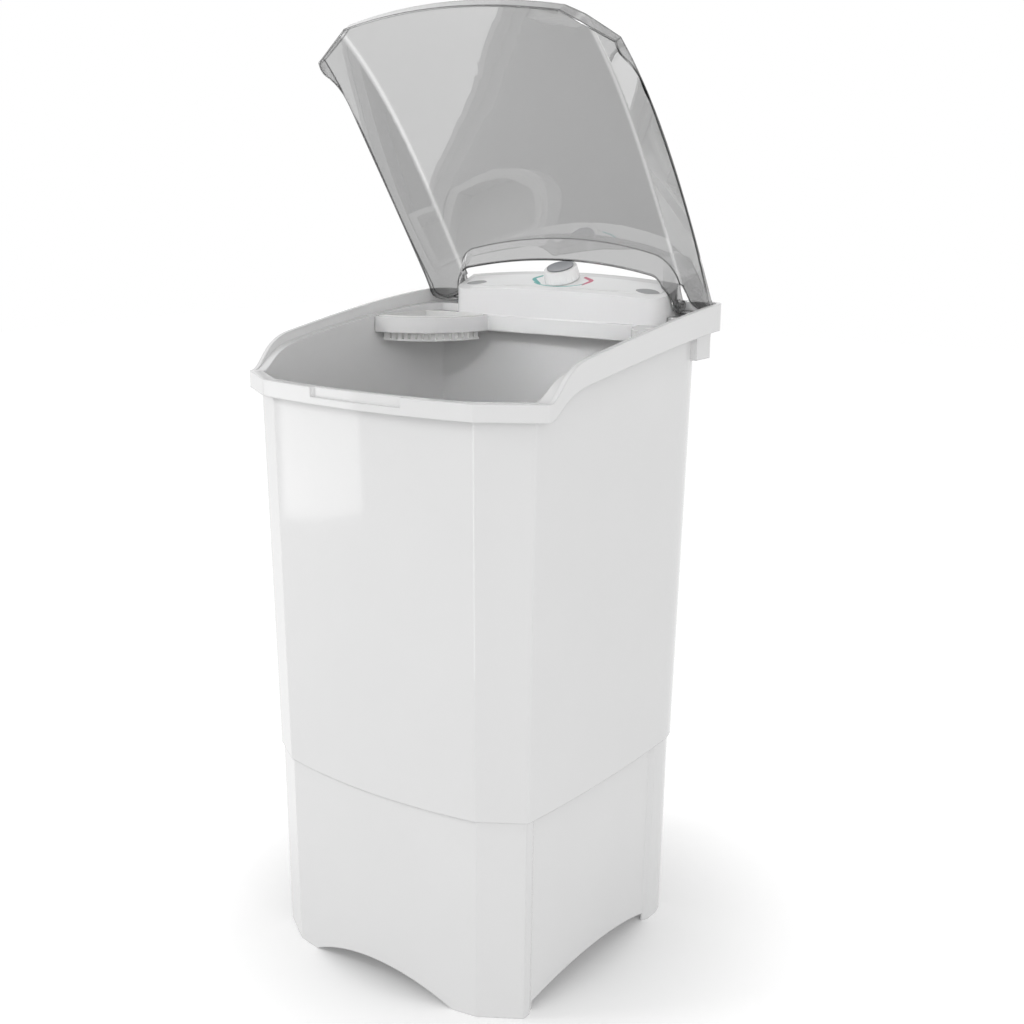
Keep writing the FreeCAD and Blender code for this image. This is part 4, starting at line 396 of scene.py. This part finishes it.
class WasherPrints(bpy.types.PropertyGroup):
    """Sizes of the prints on the console and of the knob's dish."""

    ring_half_width: bpy.props.FloatProperty(
        name="Ring half width", description="From the knob's axis to the arrow ring, across the machine",
        subtype="DISTANCE", unit="LENGTH", default=0.051)
    ring_half_depth: bpy.props.FloatProperty(
        name="Ring half depth", description="From the knob's axis to the arrow ring, front to rear",
        subtype="DISTANCE", unit="LENGTH", default=0.0252)
    ring_line: bpy.props.FloatProperty(
        name="Ring line", description="Width of the ring's thin line", subtype="DISTANCE",
        unit="LENGTH", default=0.0016)
    arrow_stroke: bpy.props.FloatProperty(
        name="Arrow stroke", description="Width of an arrow head's stroke at its point", subtype="DISTANCE",
        unit="LENGTH", default=0.0066)
    pad_length: bpy.props.FloatProperty(
        name="Pad length", description="Length of a corner pad", subtype="DISTANCE", unit="LENGTH",
        default=0.040)
    pad_width: bpy.props.FloatProperty(
        name="Pad width", description="Width of a corner pad", subtype="DISTANCE", unit="LENGTH",
        default=0.015)
    insert_radius: bpy.props.FloatProperty(
        name="Insert radius", description="Radius of the plated dish in the knob's top",
        subtype="DISTANCE", unit="LENGTH", default=0.0205)


class WasherStudio(bpy.types.PropertyGroup):
    """Light level and lens of the studio."""

    sky: bpy.props.FloatProperty(
        name="Sky", description="Strength of the even light all round", default=0.66, min=0.0)
    key_power: bpy.props.FloatProperty(
        name="Key", description="Power of the large soft lamp at the front left", subtype="POWER",
        default=26.0, min=0.0)
    fill_power: bpy.props.FloatProperty(
        name="Fill", description="Power of the large soft lamp at the right", subtype="POWER",
        default=19.0, min=0.0)
    console_power: bpy.props.FloatProperty(
        name="Console", description="Power of the narrow lamp on the console and the tub's mouth",
        subtype="POWER", default=0.14, min=0.0)
    front_power: bpy.props.FloatProperty(
        name="Front card", description="Power of the upright card that the tub's front corner mirrors",
        subtype="POWER", default=2.0, min=0.0)
    window_power: bpy.props.FloatProperty(
        name="Window", description="Power of the low card that the front mirrors", subtype="POWER",
        default=2.7, min=0.0)
    floor_glow: bpy.props.FloatProperty(
        name="Floor white", description="Brightness that the floor shows beyond its shading", default=0.45,
        min=0.0)
    # A lower floor white next to the machine is a painted shadow, on top of the shadow the machine casts.
    floor_glow_in_painted_shadow: bpy.props.FloatProperty(
        name="Floor white near", description="The same next to the machine, where its shadow lies",
        default=0.15, min=0.0)
    lens: bpy.props.FloatProperty(
        name="Lens", description="Focal length on a 36 mm wide sensor, in millimetres", default=47.016,
        min=1.0)


class WASHER_OT_shell(bpy.types.Operator):
    """White mouldings: tub, base skirt, console, duct, and the knob with its plated dish"""

    bl_idname = "washer.shell"
    bl_label = "Finish white mouldings"

    def execute(self, context):
        colours = context.scene.washer_colours
        # Polypropylene from a polished mould: a clear gloss, faint flow marks and a little orange peel.
        shell = surface("polypropylene_moulded_white", colours.shell, colours.shell_deep, (0.06, 0.13),
                        tone_mm=140.0, grain_mm=16.0, grain_height_mm=0.004, edge_mm=2.8, IOR=1.49)
        dress(("tub", "base_skirt", "console_bridge", "rear_duct"), shell)
        # ABS, harder than the shell, with a paler white.
        knob = surface("abs_moulded_white", colours.knob, colours.shell, (0.08, 0.16),
                       tone_mm=40.0, grain_mm=5.0, grain_height_mm=0.003, edge_mm=1.6, IOR=1.53)
        dress(("timer_knob",), knob)
        # ABS, chrome plated: its colour is darkened to a mid grey as a painted dark reflection, with darker
        # clouds.
        plated = surface("abs_chrome_plated", colours.plating_dark_reflection, linear("#6E7074"), (0.04, 0.12),
                         tone_mm=18.0, grain_mm=4.0, grain_height_mm=0.001, edge_mm=0.5, Metallic=1.0)
        sizes = context.scene.washer_prints
        place_piece(knob_insert("knob_insert", sizes.insert_radius), plated, "timer_dial")
        return {"FINISHED"}


class WASHER_OT_lid(bpy.types.Operator):
    """Smoked clear lid"""

    bl_idname = "washer.lid"
    bl_label = "Finish smoked lid"

    def execute(self, context):
        colours = context.scene.washer_colours
        # Styrene from a polished mould: clear grey smoke, with a painted highlight along its folds and
        # painted shade at its cut edges.
        smoked = smoked_clear("styrene_moulded_smoked", colours.smoke, colours.smoke_fold_highlight, colours.smoke_edge_shade,
                              wave_mm=160.0, polish_mm=40.0)
        dress(("lid",), smoked)
        return {"FINISHED"}


class WASHER_OT_console_film(bpy.types.Operator):
    """Console film with its arrow ring and corner pads"""

    bl_idname = "washer.console_film"
    bl_label = "Finish console film"

    def execute(self, context):
        colours = context.scene.washer_colours
        sizes = context.scene.washer_prints
        # Polycarbonate film with a fine matt texture, in a white darkened a little as painted shade from the
        # lid above.
        film = surface("polycarbonate_film_satin", colours.film, colours.shell_deep, (0.3, 0.4),
                       tone_mm=60.0, grain_mm=1.2, grain_height_mm=0.002, IOR=1.58)
        dress(("control_overlay",), film)
        # Screen ink on the film: even, with the film's satin and a slightly thinner coat in places.
        first = surface("screen_ink_first", colours.first_ink, linear("#4AA6A2"), (0.28, 0.38),
                        tone_mm=12.0, grain_mm=0.8, grain_height_mm=0.001, edge_mm=0.1, IOR=1.5)
        second = surface("screen_ink_second", colours.second_ink, linear("#C0607A"), (0.28, 0.38),
                         tone_mm=12.0, grain_mm=0.8, grain_height_mm=0.001, edge_mm=0.1, IOR=1.5)
        # Grey pads at the console's front corners, matt with a fine grain.
        rubber = surface("grey_console_pad", colours.pad_grey, linear("#959697"), (0.4, 0.55),
                         tone_mm=10.0, grain_mm=1.0, grain_height_mm=0.004, edge_mm=0.1, IOR=1.5)
        pieces = (
            (ring_line("ring_line", sizes), first),
            (arrow_head("arrow_left", LEFT_ARROW, sizes), first),
            (arrow_head("arrow_right", RIGHT_ARROW, sizes), second),
            (corner_pad("pad_left", -1.0, sizes), rubber),
            (corner_pad("pad_right", 1.0, sizes), rubber),
        )
        for piece, finish in pieces:
            place_piece(piece, finish, "machine")
        return {"FINISHED"}


class WASHER_OT_running_gear(bpy.types.Operator):
    """Basket, impeller, drive, motor, wiring and drain"""

    bl_idname = "washer.running_gear"
    bl_label = "Finish running gear"

    def execute(self, context):
        # Natural polypropylene: milky, a little duller than the shell.
        natural = surface("polypropylene_moulded_natural", linear("#EAEAE9"), linear("#E2E2E1"), (0.3, 0.42),
                          tone_mm=50.0, grain_mm=6.0, grain_height_mm=0.006, IOR=1.49)
        dress(("lint_basket", "impeller", "capacitor", "terminal_block"), natural)
        # Grey polypropylene from an etched mould: matt, with a fine tooth.
        grey = surface("polypropylene_moulded_grey", linear("#8E9093"), linear("#85878A"), (0.4, 0.52),
                       tone_mm=40.0, grain_mm=3.0, grain_height_mm=0.01, IOR=1.49)
        dress(("drain_grate", "drain_elbow", "outlet_spigot"), grey)
        # Glass-filled nylon: dark, with a dry, slightly fibrous skin.
        dark = surface("nylon_moulded_dark", linear("#26272A"), linear("#1E1F21"), (0.42, 0.58),
                       tone_mm=30.0, grain_mm=1.5, grain_height_mm=0.02, IOR=1.53)
        dress(("timer_body", "driven_pulley"), dark)
        # Zinc-plated steel: bright, with fine marks across the upright direction, as turning leaves them.
        steel = surface("steel_zinc_plated", linear("#C3C5C7"), linear("#AEB1B5"), (0.22, 0.36),
                        tone_mm=25.0, grain_mm=2.0, grain_height_mm=0.006, stretch=(1, 1, 6), Metallic=1.0)
        dress(("timer_spindle", "timer_screws", "console_screws", "hinge_pins", "impeller_screw",
               "drive_shaft", "bearing_screws", "thrust_washer", "pulley_nut", "motor_shaft", "motor_plate",
               "motor_screws", "plate_screws", "capacitor_clip", "base_screws"), steel)
        # Sintered bronze: fine open pores that hold oil.
        bronze = surface("bronze_sintered", linear("#B08D57"), linear("#947243"), (0.34, 0.5),
                         tone_mm=6.0, grain_mm=0.8, grain_height_mm=0.03, Metallic=1.0)
        dress(("upper_bush", "lower_bush"), bronze)
        # Die-cast aluminium: pale grey with a shallow pebbled skin.
        alloy = surface("aluminium_die_cast", linear("#BFC1C3"), linear("#A7AAAD"), (0.36, 0.52),
                        tone_mm=30.0, grain_mm=2.2, grain_height_mm=0.03, Metallic=1.0)
        dress(("bearing_housing", "motor_pulley"), alloy)
        # Carbon-filled rubber: nearly black with a dusty sheen.
        rubber = surface("rubber_moulded_black", linear("#1C1C1D"), linear("#2A2A2B"), (0.6, 0.78),
                         tone_mm=25.0, grain_mm=1.2, grain_height_mm=0.015, IOR=1.52)
        dress(("shaft_seal", "drive_belt", "wiring_harness", "cord_gland"), rubber)
        # Baked enamel on the motor's steel shell: satin with orange peel.
        enamel = surface("enamel_sprayed_dark", linear("#3A3C3F"), linear("#313336"), (0.3, 0.42),
                         tone_mm=45.0, grain_mm=3.0, grain_height_mm=0.015, IOR=1.5)
        dress(("motor_body",), enamel)
        return {"FINISHED"}


class WASHER_OT_studio(bpy.types.Operator):
    """Pale floor, soft light and camera"""

    bl_idname = "washer.studio"
    bl_label = "Build studio"

    def execute(self, context):
        scene = context.scene
        studio = scene.washer_studio
        scene.view_settings.view_transform = "Standard"
        self.make_sky(scene, studio)
        self.make_floor(scene, studio)
        # Each row: name, place, aim, width and height in metres, and power.
        soft = (
            ("key_lamp", (-2.2, -2.0, 2.2), (0.0, 0.0, 0.5), (1.2, 1.0), studio.key_power),
            ("fill_lamp", (2.6, -1.7, 1.2), (0.0, 0.0, 0.6), (2.4, 2.0), studio.fill_power),
            ("console_lamp", (0.7, -1.6, 2.0), (0.0, 0.21, 0.98), (0.36, 0.3), studio.console_power),
        )
        cards = (
            ("window_card", (-1.77, -1.47, 0.36), (-0.19, -0.24, 0.73), (1.0, 0.5), studio.window_power),
            ("front_card", (0.31, -1.33, 0.33), (0.17, -0.23, 0.33), (0.4, 0.62), studio.front_power),
        )
        # The soft lamps leave no mirror image, and the cards leave nothing else.
        for row in soft:
            self.make_lamp(scene, *row).visible_glossy = False
        for row in cards:
            self.make_lamp(scene, *row).visible_diffuse = False
        bpy.data.lights["console_lamp"].spread = math.radians(CONSOLE_BEAM)
        self.make_camera(scene, studio)
        return {"FINISHED"}

    @staticmethod
    def seen(tree):
        """1 for rays that show the background: from the camera, a mirror gloss or through the lid."""
        path = add(tree, "ShaderNodeLightPath")
        first = add(tree, "ShaderNodeMath",
                    {0: path.outputs["Is Camera Ray"], 1: path.outputs["Is Glossy Ray"]}, operation="MAXIMUM")
        both = add(tree, "ShaderNodeMath",
                   {0: first.outputs["Value"], 1: path.outputs["Is Transmission Ray"]}, operation="MAXIMUM")
        return both.outputs["Value"]

    def make_sky(self, scene, studio):
        """An even sky: plain white where it is seen, and at its own strength where it lights."""
        scene.world = bpy.data.worlds.new("studio_sky")
        scene.world.use_nodes = True
        tree = scene.world.node_tree
        tree.nodes.clear()
        level = add(tree, "ShaderNodeMapRange",
                    {"Value": self.seen(tree), "To Min": studio.sky, "To Max": 1.0})
        light = add(tree, "ShaderNodeBackground", {"Color": WHITE, "Strength": level.outputs["Result"]})
        add(tree, "ShaderNodeOutputWorld", {"Surface": light.outputs["Background"]})

    def make_floor(self, scene, studio):
        """One flat square, brightened to white where it is seen, and less so near the machine, as a painted
        shadow.
        """
        corners = [(-FLOOR_HALF, -FLOOR_HALF, 0.0), (FLOOR_HALF, -FLOOR_HALF, 0.0),
                   (FLOOR_HALF, FLOOR_HALF, 0.0), (-FLOOR_HALF, FLOOR_HALF, 0.0)]
        mesh = bpy.data.meshes.new("floor")
        mesh.from_pydata(corners, [], [(0, 1, 2, 3)])
        floor = bpy.data.objects.new("floor", mesh)
        scene.collection.objects.link(floor)
        made, tree = empty_tree("studio_floor_white")
        place = add(tree, "ShaderNodeTexCoord").outputs["Object"]
        away = add(tree, "ShaderNodeVectorMath", {0: place}, operation="LENGTH")
        # Painted shadow: the floor's glow falls from its full value to the near one towards the machine.
        level = add(tree, "ShaderNodeMapRange",
                    {"Value": away.outputs["Value"], "From Min": PAINTED_SHADOW_CORE, "From Max": PAINTED_SHADOW_END,
                     "To Min": studio.floor_glow_in_painted_shadow, "To Max": studio.floor_glow},
                    interpolation_type="SMOOTHSTEP")
        glow = add(tree, "ShaderNodeMath",
                   {0: self.seen(tree), 1: level.outputs["Result"]}, operation="MULTIPLY")
        shader = add(tree, "ShaderNodeBsdfPrincipled",
                     {"Base Color": linear("#F2F2F2"), "Roughness": 0.9, "Specular IOR Level": 0.0,
                      "Emission Color": WHITE, "Emission Strength": glow.outputs["Value"]})
        add(tree, "ShaderNodeOutputMaterial", {"Surface": shader.outputs["BSDF"]})
        mesh.materials.append(made)

    @staticmethod
    def make_lamp(scene, name, place, aim, size, power):
        """A rectangular lamp that neither the camera nor a ray through the lid sees."""
        lamp = bpy.data.lights.new(name, "AREA")
        lamp.shape = "RECTANGLE"
        lamp.size, lamp.size_y = size
        lamp.energy = power
        made = bpy.data.objects.new(name, lamp)
        made.location = place
        made.rotation_euler = turned_towards(place, aim)
        made.visible_camera = False
        made.visible_transmission = False
        scene.collection.objects.link(made)
        return made

    @staticmethod
    def make_camera(scene, studio):
        """The camera at the photograph's viewing angle."""
        lens = bpy.data.cameras.new("photo_camera")
        lens.sensor_width = SENSOR_WIDTH
        lens.lens = studio.lens
        lens.shift_x = CAMERA_SHIFT
        made = bpy.data.objects.new("photo_camera", lens)
        made.location = CAMERA_PLACE
        made.rotation_euler = turned_towards(CAMERA_PLACE, CAMERA_AIM)
        scene.collection.objects.link(made)
        scene.camera = made


class WASHER_PT_panel(bpy.types.Panel):
    """Lists the machine's finishes, prints and studio"""

    bl_label = "Washer"
    bl_idname = "WASHER_PT_panel"
    bl_space_type = "VIEW_3D"
    bl_region_type = "UI"
    bl_category = "Washer"

    def draw(self, context):
        for operator in OPERATORS:
            self.layout.operator(operator.bl_idname)
        for group in ("washer_colours", "washer_prints", "washer_studio"):
            values = getattr(context.scene, group)
            for name in values.__annotations__:
                self.layout.prop(values, name)


OPERATORS = (
    WASHER_OT_shell,
    WASHER_OT_lid,
    WASHER_OT_console_film,
    WASHER_OT_running_gear,
    WASHER_OT_studio,
)
CLASSES = (WasherColours, WasherPrints, WasherStudio, *OPERATORS, WASHER_PT_panel)


def register():
    for item in CLASSES:
        bpy.utils.register_class(item)
    bpy.types.Scene.washer_colours = bpy.props.PointerProperty(type=WasherColours)
    bpy.types.Scene.washer_prints = bpy.props.PointerProperty(type=WasherPrints)
    bpy.types.Scene.washer_studio = bpy.props.PointerProperty(type=WasherStudio)


def unregister():
    del bpy.types.Scene.washer_studio
    del bpy.types.Scene.washer_prints
    del bpy.types.Scene.washer_colours
    for item in reversed(CLASSES):
        bpy.utils.unregister_class(item)


def main():
    register()
    bpy.ops.washer.shell()
    bpy.ops.washer.lid()
    bpy.ops.washer.console_film()
    bpy.ops.washer.running_gear()
    bpy.ops.washer.studio()


if __name__ == "__main__":
    main()
